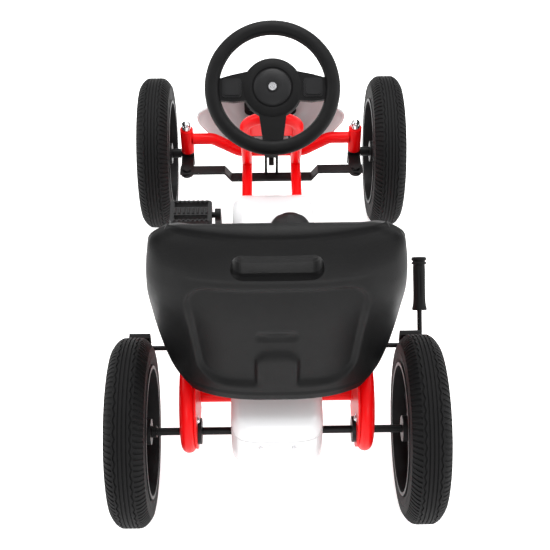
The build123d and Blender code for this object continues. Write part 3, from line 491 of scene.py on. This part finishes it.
outer_line = [(0.285, 0.020), (0.235, 0.008), (0.150, 0.002), (0.075, 0.000), (0.022, -0.001),
              (0.0045, 0.001),
              (0.0003, 0.014), (0.000, 0.065), (0.000, 0.130), (0.000, 0.190), (0.004, 0.245),
              (0.010, 0.290),
              (0.017, 0.3165)]
crest_line = [(0.020, 0.3205), (0.027, 0.3238), (0.038, 0.3240), (0.047, 0.3212)]
inner_line = [(0.052, 0.315), (0.044, 0.270), (0.038, 0.215), (0.038, 0.150), (0.048, 0.095),
              (0.072, 0.055),
              (0.115, 0.038), (0.170, 0.035), (0.225, 0.040), (0.277, 0.047)]
edge_line = [(0.056, 0.315), (0.066, 0.285), (0.078, 0.245), (0.092, 0.205), (0.112, 0.165), (0.140, 0.125),
             (0.175, 0.092), (0.210, 0.070), (0.245, 0.056), (0.277, 0.047)]
lip_line = [(0.2845, 0.0455), (0.2875, 0.040), (0.2880, 0.030), (0.2872, 0.023)]
width_line = [0.130, 0.151, 0.162, 0.1690, 0.1740, 0.1760, 0.1765, 0.1760, 0.1745, 0.1725, 0.1690,
              0.1620, 0.134]
outer_rows = 170
inner_rows = 70
columns = 136


def seat_width(z):
    """Half the seat's width at a height above its base."""
    share = min(1.0, max(0.0, z / 0.325))
    return along([(w,) for w in width_line], share)[0]


def panel_depth(x, z):
    """How deep the rear panel is pressed in at a place on the back."""
    field = rounded_box(x, z - 0.138, 0.108 + 0.085 * z, 0.103, 0.040)
    tongue = rounded_box(x, z - 0.046, 0.034, 0.066, 0.026)
    fade = ease((0.122 - z) / 0.030)
    pressed = 0.0060 * ease(-field / 0.009) * (1 - fade * ease(-tongue / 0.008))
    patch = rounded_box(x, z - 0.1415, 0.030, 0.0090, 0.007)
    patch_bar = rounded_box(x, z - 0.1415, 0.016, 0.0028, 0.0025)
    step = 0.0012 * ease((0.2555 - z) / 0.003) * ease((0.128 - abs(x)) / 0.02)
    return pressed + step + 0.0022 * ease(-patch / 0.003) - 0.0014 * ease(-patch_bar / 0.002)


seat_mesh = bmesh.new()
seat_loops = []
for column in range(columns + 1):
    share = 2 * column / columns - 1
    edge = max(0.0, (abs(share) - 0.88) / 0.12)
    across = (abs(share) if edge == 0 else 0.88 + 0.12 * sin(edge * pi / 2)) * (1 if share > 0 else -1)
    tuck = 0.011 * (1 - cos(edge * pi / 2))
    rise = ease((abs(across) - 0.70) / 0.20)
    loop = []
    for row in range(outer_rows):
        y, z = along(outer_line, row / (outer_rows - 1))
        inset = tuck * (1 if y < 0.27 else 0.4)
        loop.append(("outer", y + (inset if row > outer_rows * 0.4 else 0),
                     z + (inset if row <= outer_rows * 0.4 else 0)))
    for y, z in crest_line:
        loop.append(("crest", y, z - tuck * 0.5))
    for row in range(inner_rows):
        y, z = along(inner_line, row / (inner_rows - 1))
        edge_y, edge_z = along(edge_line, row / (inner_rows - 1))
        y += (edge_y - y) * rise
        z += (edge_z - z) * rise
        loop.append(("inner", y - tuck * 0.6, z - tuck * 0.6))
    for y, z in lip_line:
        loop.append(("lip", y - tuck * 0.6, z))
    verts = []
    for kind, y, z in loop:
        x = across * seat_width(z)
        swept = 1 - rise if kind in ("inner", "lip") else 1
        wrap = 0.054 - 0.026 * ease((z - 0.10) / 0.14)
        body_sweep = wrap * abs(x / 0.165) ** 3 * ease((0.19 - y) / 0.16) * swept
        crest_sweep = 0.026 * min(1.0, abs(x) / 0.150) ** 2.2 * (1 - ease((y - tuck - 0.012) / 0.034))
        at_crest = ease((z - 0.262) / 0.045)
        back = seat_low.y + y + body_sweep * (1 - at_crest) + crest_sweep * at_crest
        if kind == "outer" and y < 0.02 and z > 0.02:
            back += panel_depth(x, z)
        verts.append(seat_mesh.verts.new((x, back, seat_low.z + z)))
    seat_loops.append(verts)
for here, following in zip(seat_loops, seat_loops[1:]):
    for j in range(len(here)):
        k = (j + 1) % len(here)
        seat_mesh.faces.new((here[j], here[k], following[k], following[j]))
for loop in (seat_loops[0], seat_loops[-1]):
    seat_mesh.faces.new(loop)
seat_piece = finish_piece("bucket_seat", seat_mesh, seat_shell, "frame", 55)
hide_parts("seat")


def carve(piece, cutter_mesh):
    """Cuts a closed form out of a piece."""
    data = bpy.data.meshes.new("cutter")
    bmesh.ops.recalc_face_normals(cutter_mesh, faces=cutter_mesh.faces)
    cutter_mesh.to_mesh(data)
    cutter_mesh.free()
    cutter = bpy.data.objects.new("cutter", data)
    scene.collection.objects.link(cutter)
    modifier = piece.modifiers.new("carve", "BOOLEAN")
    modifier.object = cutter
    modifier.operation = "DIFFERENCE"
    modifier.solver = "EXACT"
    bpy.context.view_layer.update()
    evaluated = piece.evaluated_get(bpy.context.evaluated_depsgraph_get())
    carved = bpy.data.meshes.new_from_object(evaluated)
    piece.modifiers.clear()
    piece.data = carved
    bpy.data.objects.remove(cutter)


def rounded_outline(half_x, half_z, corner, steps=8):
    """Points round a rectangle with round corners."""
    points = []
    for quarter, (sign_x, sign_z) in enumerate(((1, 1), (-1, 1), (-1, -1), (1, -1))):
        for step in range(steps + 1):
            angle = pi / 2 * (quarter + step / steps)
            points.append((sign_x * (half_x - corner) + corner * cos(angle),
                           sign_z * (half_z - corner) + corner * sin(angle)))
    return points


slot_cut = bmesh.new()
slot_z = seat_low.z + 0.279
slot_rings = []
for back, grow in ((-0.020, 0.006), (0.004, 0.0042), (0.0075, 0.0030), (0.011, 0.0010), (0.016, 0.0),
                   (0.034, 0.0),
                   (0.043, 0.002), (0.050, 0.006), (0.070, 0.012)):
    outline = rounded_outline(0.058 + grow, 0.0178 + grow, 0.014 + grow)
    slot_rings.append([slot_cut.verts.new((x, seat_low.y + back, slot_z + z)) for x, z in outline])
for here, following in zip(slot_rings, slot_rings[1:]):
    for j in range(len(here)):
        k = (j + 1) % len(here)
        slot_cut.faces.new((here[j], here[k], following[k], following[j]))
slot_cut.faces.new(slot_rings[0])
slot_cut.faces.new(slot_rings[-1])
carve(seat_piece, slot_cut)


# Steering wheel: a soft black moulded grip on a hub with three spokes, a ring round its pad
# and a plain cap in the middle. A push button for the horn sits on each side spoke.
grip_foam = Finish("soft_grip_moulding", Specular_IOR_Level=0.13)
grip_foam.tint(grip_foam.noise(50, 4), (0.003, 0.003, 0.0032, 1), (0.007, 0.007, 0.0074, 1))
grip_grain = grip_foam.node("ShaderNodeTexVoronoi", {}, {"Vector": grip_foam.place, "Scale": 900})
grip_foam.feed("Roughness", grip_foam.noise(150) * 0.12 + 0.46)
grip_foam.bump(grip_grain * 0.6 + grip_foam.noise(1600, 2) * 0.4, 0.00016)

column_joint = next(joint for joint in frame["joints"] if joint["name"] == "steering_turn")
wheel_axis = Vector(column_joint["axis"]).normalized()
wheel_centre = Vector(column_joint["pos_m"])
wheel_up = wheel_axis.cross(Vector((1, 0, 0)))
wheel_place = Matrix.Translation(wheel_centre) @ Matrix(((1, wheel_up.x, wheel_axis.x),
                                                         (0, wheel_up.y, wheel_axis.y),
                                                         (0, wheel_up.z, wheel_axis.z))).to_4x4()
ring_radius = 0.095
ring_turns = 120
ring_sides = 24
grip_mesh = bmesh.new()
grip_rings = []
for i in range(ring_turns):
    angle = 2 * pi * i / ring_turns
    thumb = sum(exp(-((angle - at + pi) % (2 * pi) - pi) ** 2 / 0.030) for at in (radians(28),
                                                                                  radians(152)))
    spoke_dip = sum(exp(-((angle - at + pi) % (2 * pi) - pi) ** 2 / 0.012) for at in (0, pi, 3 * pi / 2))
    ring = []
    for j in range(ring_sides):
        around = 2 * pi * j / ring_sides
        wide = 0.0122 + 0.0003 * thumb
        tall = 0.0118 + 0.0004 * thumb - 0.0005 * spoke_dip
        reach = ring_radius + wide * cos(around)
        rise = tall * sin(around)
        if cos(around) < -0.80:
            reach += 0.0010
        ring.append(grip_mesh.verts.new(wheel_place @ Vector((reach * cos(angle), reach * sin(angle),
                                                              rise))))
    grip_rings.append(ring)
for i in range(ring_turns):
    for j in range(ring_sides):
        here, following = grip_rings[i], grip_rings[(i + 1) % ring_turns]
        k = (j + 1) % ring_sides
        grip_mesh.faces.new((here[j], following[j], following[k], here[k]))
grip_piece = finish_piece("wheel_grip", grip_mesh, grip_foam, "steering")
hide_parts("steering_wheel")

hub_mesh = bmesh.new()
lathe(hub_mesh, [(0.0, 0.0045), (0.0300, 0.0045), (0.0306, 0.0032), (0.0316, 0.0030), (0.0322, 0.0042),
                 (0.0345, 0.0046), (0.0420, 0.0034), (0.0462, 0.0010), (0.0480, -0.0030), (0.0482, -0.0110),
                 (0.0465, -0.0135), (0.0200, -0.0138), (0.0165, -0.0200), (0.0150, -0.0330),
                 (0.0130, -0.0345),
                 (0.0, -0.0345)], wheel_place, 72)
finish_piece("wheel_hub", hub_mesh, grip_foam, "steering", 28)

pad_mesh = bmesh.new()
lathe(pad_mesh, [(0.0, 0.0100), (0.0040, 0.0100), (0.0082, 0.0096), (0.0086, 0.0080), (0.0110, 0.0084),
                 (0.0200, 0.0078), (0.0270, 0.0062), (0.0288, 0.0052), (0.0290, 0.0044), (0.0, 0.0044)],
      wheel_place, 64)
pad_piece = finish_piece("wheel_pad", pad_mesh, satin_black, "steering", 28)
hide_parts("steering_pad")

badge_enamel = Finish("plain_silver_badge", Metallic=0.8, Coat_Weight=0.6)
badge_enamel.tint(badge_enamel.noise(500), (0.42, 0.42, 0.43, 1), (0.55, 0.55, 0.57, 1))
badge_enamel.feed("Roughness", badge_enamel.noise(700) * 0.1 + 0.22)
badge_mesh = bmesh.new()
lathe(badge_mesh, [(0.0, 0.0108), (0.0048, 0.0107), (0.0052, 0.0112), (0.0062, 0.0112), (0.0066, 0.0104),
                   (0.0066, 0.0096), (0.0, 0.0096)], wheel_place, 48)
finish_piece("wheel_badge", badge_mesh, badge_enamel, "steering", 28)


def prism(outline, low, high, place, bevel, segments=3):
    """Flat-sided moulding with softened edges: an outline raised along Z, then placed."""
    mesh = bmesh.new()
    bottom = [mesh.verts.new((x, y, low)) for x, y in outline]
    top = [mesh.verts.new((x, y, high)) for x, y in outline]
    mesh.faces.new(bottom[::-1])
    mesh.faces.new(top)
    for i in range(len(outline)):
        j = (i + 1) % len(outline)
        mesh.faces.new((bottom[i], bottom[j], top[j], top[i]))
    rim_edges = [edge for edge in mesh.edges if edge.calc_face_angle(0) > radians(35)]
    bmesh.ops.bevel(mesh, geom=rim_edges, offset=bevel, segments=segments, profile=0.6, affect="EDGES")
    bmesh.ops.transform(mesh, matrix=place, verts=mesh.verts)
    return mesh


side_spoke = [(0.040, -0.020), (0.062, -0.022), (0.089, -0.019), (0.089, 0.014), (0.064, 0.021),
              (0.040, 0.026)]
for side in both:
    sign = -1 if side == "left" else 1
    outline = [(sign * x, y) for x, y in side_spoke][::sign]
    spoke_mesh = prism(outline, -0.0105, 0.0012, wheel_place, 0.0022)
    finish_piece(f"wheel_spoke_{side}", spoke_mesh, grip_foam, "steering", 30)
    bezel = rounded_outline(0.0150, 0.0150, 0.0050, 5)
    pad_place = wheel_place @ Matrix.Translation((sign * 0.064, 0, 0))
    bezel_mesh = prism(bezel, 0.0008, 0.0024, pad_place, 0.0006, 2)
    finish_piece(f"horn_bezel_{side}", bezel_mesh, satin_black, "steering", 30)
    cap = rounded_outline(0.0118, 0.0118, 0.0042, 6)
    cap_mesh = prism(cap, 0.0016, 0.0046, pad_place, 0.0011)
    cap_piece = finish_piece(f"horn_cap_{side}", cap_mesh, satin_black, f"horn_{side}", 30)
    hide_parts(f"horn_button_{side}")
lower_spoke = [(-0.022, -0.040), (-0.0155, -0.088), (0.0155, -0.088), (0.022, -0.040)]
finish_piece("wheel_spoke_lower", prism(lower_spoke, -0.0105, 0.0008, wheel_place, 0.0026), grip_foam,
             "steering",
             30)


# Chain case: two glossy white mouldings that meet at a line round the middle, with well
# rounded shoulders. Two screws close it at the back.
white_gloss = Finish("gloss_white_moulding", Coat_Weight=0.3, Coat_Roughness=0.08)
white_gloss.tint(white_gloss.noise(12), (0.82, 0.82, 0.83, 1), (0.86, 0.86, 0.87, 1))
white_gloss.feed("Roughness", white_gloss.noise(60) * 0.06 + 0.22)
white_gloss.bump(white_gloss.noise(240, 2), 0.00010)

case_low = Vector(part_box("chain_case_lower")[0])
case_high = Vector(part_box("chain_case_upper")[1])
case_half = case_high.x
case_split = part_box("chain_case_lower")[1][2]


def round_corners(corners, radii, steps=14):
    """Closed outline with each corner rounded by its own radius."""
    points = []
    count = len(corners)
    for i, (corner, radius) in enumerate(zip(corners, radii)):
        here = Vector(corner)
        back = (Vector(corners[i - 1]) - here).normalized()
        ahead = (Vector(corners[(i + 1) % count]) - here).normalized()
        half_turn = back.angle(ahead) / 2
        centre = here + (back + ahead).normalized() * radius / sin(half_turn)
        start = here + back * radius / tan(half_turn) - centre
        end = here + ahead * radius / tan(half_turn) - centre
        sweep = start.angle_signed(end)
        for step in range(steps + 1):
            points.append(centre + Matrix.Rotation(-sweep * step / steps, 2) @ start)
    return points


case_top_front = 0.264
case_top_rear = 0.196
case_outline = round_corners([(case_low.y, case_low.z), (case_high.y, case_low.z),
                              (case_high.y, case_top_front),
                              (case_low.y, case_top_rear)], [0.036, 0.080, 0.080, 0.034], 20)


def case_half_width(y):
    """Half the case's width in plan, with round ends."""
    front = max(0.0, y - (case_high.y - 0.032)) / 0.032
    rear = max(0.0, case_low.y + 0.032 - y) / 0.032
    fall = 0.032 * (2 - sqrt(max(0, 1 - front * front)) - sqrt(max(0, 1 - rear * rear)))
    return case_half - fall


def case_height(y, highest):
    """Where the side outline crosses a place along the case, at its top or its bottom."""
    heights = []
    for start, end in zip(case_outline, case_outline[1:] + case_outline[:1]):
        if min(start.x, end.x) <= y <= max(start.x, end.x) and start.x != end.x:
            heights.append(start.y + (end.y - start.y) * (y - start.x) / (end.x - start.x))
    return max(heights) if highest else min(heights)


shoulder = 0.021
case_stations = 120
case_mesh = bmesh.new()
case_rings = []
for station in range(case_stations + 1):
    y = case_low.y + (case_high.y - case_low.y) * (1 - cos(pi * station / case_stations)) / 2
    y = min(max(y, case_low.y + 1e-5), case_high.y - 1e-5)
    low, high = case_height(y, False), case_height(y, True)
    half_x, half_z = case_half_width(y), (high - low) / 2
    corner = min(shoulder, half_x * 0.95, half_z * 0.95)
    ring = []
    for x, z in rounded_outline(half_x, half_z, corner, 9):
        ring.append(case_mesh.verts.new((x, y, (low + high) / 2 + z)))
    case_rings.append(ring)
for here, following in zip(case_rings, case_rings[1:]):
    for j in range(len(here)):
        k = (j + 1) % len(here)
        case_mesh.faces.new((here[j], here[k], following[k], following[j]))
case_mesh.faces.new(case_rings[0])
case_mesh.faces.new(case_rings[-1])
case_whole = bpy.data.meshes.new("case_whole")
bmesh.ops.recalc_face_normals(case_mesh, faces=case_mesh.faces)
case_mesh.to_mesh(case_whole)
case_mesh.free()


def round_cutter(mesh, start, end, radius):
    """Adds a plain round bar to a cutter."""
    run = Vector(end) - Vector(start)
    lathe(mesh, [(0, 0), (radius, 0), (radius, run.length), (0, run.length)], facing(start, run), 32)


parting = 0.0007
for name, direction in (("upper", 1), ("lower", -1)):
    mesh = bmesh.new()
    mesh.from_mesh(case_whole)
    geometry = mesh.verts[:] + mesh.edges[:] + mesh.faces[:]
    bmesh.ops.bisect_plane(mesh, geom=geometry, plane_co=(0, 0, case_split + direction * parting),
                           plane_no=(0, 0, -direction), clear_outer=True)
    half = finish_piece(f"case_{name}", mesh, white_gloss, "frame", 30)
    shell = half.modifiers.new("wall", "SOLIDIFY")
    shell.thickness = 0.0024
    shell.offset = -1
    cutter = bmesh.new()
    for turning, clearance in (("rear_axle_spin", 0.0035), ("crank_spin", 0.0045)):
        joint = next(j for j in frame["joints"] if j["name"] == turning)
        y, z = joint["pos_m"][1], joint["pos_m"][2]
        round_cutter(cutter, (-0.09, y, z), (0.09, y, z), 0.006 + clearance)
    brake = next(j for j in frame["joints"] if j["name"] == "brake_pull")["pos_m"]
    round_cutter(cutter, (-0.09, brake[1], brake[2]), (0.09, brake[1], brake[2]), 0.0062)
    for cross in ("cross_tube_front", "cross_tube_rear"):
        tube = middle(cross)
        round_cutter(cutter, (-0.09, tube.y, tube.z), (0.09, tube.y, tube.z), 0.0118)
    for side in both:
        rail = middle(f"main_rail_{side}")
        round_cutter(cutter, (rail.x, case_high.y - 0.06, rail.z), (rail.x, case_high.y + 0.02, rail.z),
                     0.0102)
    carve(half, cutter)
    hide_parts(f"chain_case_{name}")


latch_z = case_split - 0.0125
latch_place = facing((0, case_low.y, latch_z), (0, -1, 0))
latch_mesh = prism(rounded_outline(0.033, 0.0050, 0.0048), -0.0015, 0.0010, latch_place, 0.0006)
finish_piece("case_latch", latch_mesh, white_gloss, "frame", 30)
for side, sign in (("left", -1), ("right", 1)):
    screw(f"case_screw_{side}", Vector((sign * 0.025, case_low.y - 0.0012, latch_z)), (0, -1, 0), 0.0026)

selector = middle("selector_knob")
selector_high = Vector(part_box("selector_knob")[1])
boss_mesh = bmesh.new()
boss_height = selector_high.z - 0.0203
lathe(boss_mesh, [(0.0, boss_height), (0.0365, boss_height), (0.0378, boss_height - 0.0010),
                  (0.0392, boss_height - 0.016), (0.0, boss_height - 0.016)],
      Matrix.Translation((selector.x, selector.y, 0)), 64)
finish_piece("selector_boss", boss_mesh, white_gloss, "frame", 30)


# Selector knob: a low black dome on the case, with finger flats and a raised pointer bar.
# It turns on a stem through the case's top.
knob_base = boss_height + 0.0004
knob_mesh = bmesh.new()
knob_turns = 96
knob_rings = []
for radius, height, scallop in ((0.0352, 0.0, 0.0), (0.0356, 0.0015, 0.4), (0.0345, 0.0060, 1.0),
                                (0.0330, 0.0110, 1.0),
                                (0.0310, 0.0145, 0.8), (0.0280, 0.0172, 0.3), (0.0230, 0.0187, 0.0),
                                (0.0140, 0.0195, 0.0), (0.0060, 0.0198, 0.0)):
    ring = []
    for i in range(knob_turns):
        angle = 2 * pi * i / knob_turns
        reach = radius - 0.0016 * scallop * max(0.0, cos(6 * angle)) ** 2
        ring.append(knob_mesh.verts.new((selector.x + reach * cos(angle), selector.y + reach * sin(angle),
                                         knob_base + height)))
    knob_rings.append(ring)
for here, following in zip(knob_rings, knob_rings[1:]):
    for j in range(knob_turns):
        k = (j + 1) % knob_turns
        knob_mesh.faces.new((here[j], here[k], following[k], following[j]))
knob_mesh.faces.new(knob_rings[0])
knob_mesh.faces.new(knob_rings[-1])
knob_piece = finish_piece("selector_dome", knob_mesh, satin_black, "selector", 40)
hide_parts("selector_knob")
pointer = rounded_outline(0.0050, 0.0170, 0.0045, 5)
pointer_mesh = prism(pointer, knob_base + 0.0180, knob_base + 0.0222,
                     Matrix.Translation((selector.x, selector.y, 0)),
                     0.0012)
finish_piece("selector_pointer", pointer_mesh, satin_black, "selector", 30)


# Pedals: black moulded platforms with raised treads on both faces and open windows.
# They turn freely on pins in the crank arms.
wear(["pedal_left", "pedal_right"], satin_black)
for side in both:
    low, high = (Vector(corner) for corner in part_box(f"pedal_{side}"))
    centre = (low + high) / 2
    tread = bmesh.new()
    for face in (-1, 1):
        for row in (-1, 0, 1):
            for stud in range(8):
                x = centre.x + (stud - 3.5) * 0.0076
                y = centre.y + row * 0.0222 if row else centre.y
                z = centre.z + face * (high.z - centre.z)
                width = 0.0021
                depth = 0.0019 if row else 0.0068
                corners = []
                for grow, rise in ((1.0, -0.0008), (1.0, 0.0010), (0.55, 0.0020)):
                    corners.append([tread.verts.new((x + sx * width * grow,
                                                     y + sy * depth * (0.5 + grow / 2),
                                                     z + face * rise))
                                    for sx, sy in ((-1, -1), (1, -1), (1, 1), (-1, 1))])
                for here, following in zip(corners, corners[1:]):
                    for j in range(4):
                        k = (j + 1) % 4
                        tread.faces.new((here[j], here[k], following[k], following[j]))
                tread.faces.new(corners[-1])
                tread.faces.new(corners[0])
    finish_piece(f"pedal_tread_{side}", tread, satin_black, f"pedal_{side}_body", 30)


# Brake grip: a soft black sleeve pressed over the lever, faintly fluted, with a double
# ring at its top and a flared collar at its foot. The pads are hard black rubber.
wear(["brake_pad_left", "brake_pad_right"], foam_rubber)
grip_joint = next(j for j in frame["joints"] if j["name"] == "brake_pull")
grip_low, grip_high = (Vector(corner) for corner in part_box("brake_grip"))
lever_x = (grip_low.x + grip_high.x) / 2
lever_foot = Vector((lever_x, grip_joint["pos_m"][1], grip_joint["pos_m"][2]))
lever_lean = radians(42.7)
lever_run = Vector((0, cos(lever_lean), sin(lever_lean)))
sleeve = [(0.0, 0.0570), (0.0112, 0.0570), (0.0122, 0.0580), (0.0122, 0.0604), (0.0112, 0.0640),
          (0.0104, 0.0690),
          (0.0100, 0.0760), (0.0099, 0.0860), (0.0099, 0.0980), (0.0100, 0.1100), (0.0101, 0.1200),
          (0.0100, 0.1280),
          (0.0096, 0.1320), (0.0120, 0.1330), (0.0124, 0.1342), (0.0120, 0.1360), (0.0102, 0.1368),
          (0.0102, 0.1382),
          (0.0120, 0.1390), (0.0124, 0.1404), (0.0121, 0.1430), (0.0104, 0.1446), (0.0, 0.1450)]
grip_sleeve = bmesh.new()
lathe(grip_sleeve, sleeve, Matrix.Identity(4), 64)
for vert in grip_sleeve.verts:
    flute = max(0.0, cos(8 * atan2(vert.co.y, vert.co.x))) ** 2 * ease((vert.co.z - 0.069) / 0.007)
    shrink = 1 - 0.09 * flute * ease((0.130 - vert.co.z) / 0.006)
    vert.co.x *= shrink
    vert.co.y *= shrink
bmesh.ops.transform(grip_sleeve, matrix=facing(lever_foot, lever_run), verts=grip_sleeve.verts)
grip_sleeve_piece = finish_piece("brake_sleeve", grip_sleeve, grip_foam, "brake", 30)
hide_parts("brake_grip")


# Front fairing: a glossy white nose shell that wraps round the beam, open at the back, with
# a black grille. It is screwed to a bracket on the beam.
fair_low, fair_high = (Vector(corner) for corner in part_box("fairing"))
fair_half = fair_high.x
fair_length = fair_high.y - fair_low.y
fair_section = [(0.0, 0.0), (0.22, 0.00), (0.42, 0.02), (0.70, 0.16), (0.93, 0.38), (1.0, 0.50),
                (0.98, 0.60),
                (0.80, 0.72), (0.60, 0.84), (0.44, 0.95), (0.24, 1.0), (0.0, 1.0)]
fair_stations = [(0.00, 1.00, 0.00, 1.00), (0.03, 1.00, 0.00, 1.00), (0.12, 0.985, 0.0, 0.99),
                 (0.30, 0.93, 0.0, 0.95),
                 (0.50, 0.84, 0.01, 0.88), (0.70, 0.70, 0.03, 0.77), (0.85, 0.56, 0.07, 0.66),
                 (0.94, 0.44, 0.12, 0.57), (0.99, 0.28, 0.20, 0.48), (1.0, 0.14, 0.27, 0.42)]
fair_mesh = bmesh.new()
fair_rings = []
stations = 34
points_up = 40
for station in range(stations + 1):
    share = 1 - (1 - station / stations) ** 1.6
    upper = next(i for i in range(1, len(fair_stations)) if fair_stations[i][0] >= share - 1e-9)
    before, after = fair_stations[upper - 1], fair_stations[upper]
    blend = (share - before[0]) / (after[0] - before[0])
    wide, bottom, top = (a + (b - a) * blend for a, b in zip(before[1:], after[1:]))
    ring = []
    for side in (1, -1):
        rows = range(points_up + 1) if side == 1 else range(points_up - 1, 0, -1)
        for row in rows:
            x, z = along(fair_section, row / points_up)
            height = (bottom + (top - bottom) * z) * (fair_high.z - fair_low.z)
            ring.append(fair_mesh.verts.new((side * max(0.0, x) * wide * fair_half,
                                             fair_low.y + share * fair_length, fair_low.z + height)))
    fair_rings.append(ring)
for here, following in zip(fair_rings, fair_rings[1:]):
    for j in range(len(here)):
        k = (j + 1) % len(here)
        fair_mesh.faces.new((here[j], here[k], following[k], following[j]))
fair_mesh.faces.new(fair_rings[-1])
bmesh.ops.smooth_vert(fair_mesh, verts=[v for ring in fair_rings[2:] for v in ring], factor=0.5,
                      use_axis_x=True,
                      use_axis_y=True, use_axis_z=True)
fair_piece = finish_piece("nose_fairing", fair_mesh, white_gloss, "frame", 50)
fair_wall = fair_piece.modifiers.new("wall", "SOLIDIFY")
fair_wall.thickness = 0.0028
fair_wall.offset = -1
grille = middle("fairing_grille")
grille_cut = bmesh.new()
grille_outline = rounded_outline(0.047, 0.016, 0.010)
grille_rings = [[grille_cut.verts.new((x, y, grille.z + z)) for x, z in grille_outline]
                for y in (grille.y - 0.012, fair_high.y + 0.05)]
for j in range(len(grille_outline)):
    k = (j + 1) % len(grille_outline)
    grille_cut.faces.new((grille_rings[0][j], grille_rings[0][k], grille_rings[1][k], grille_rings[1][j]))
grille_cut.faces.new(grille_rings[0])
grille_cut.faces.new(grille_rings[1])
carve(fair_piece, grille_cut)
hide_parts("fairing")
wear(["fairing_grille"], satin_black)
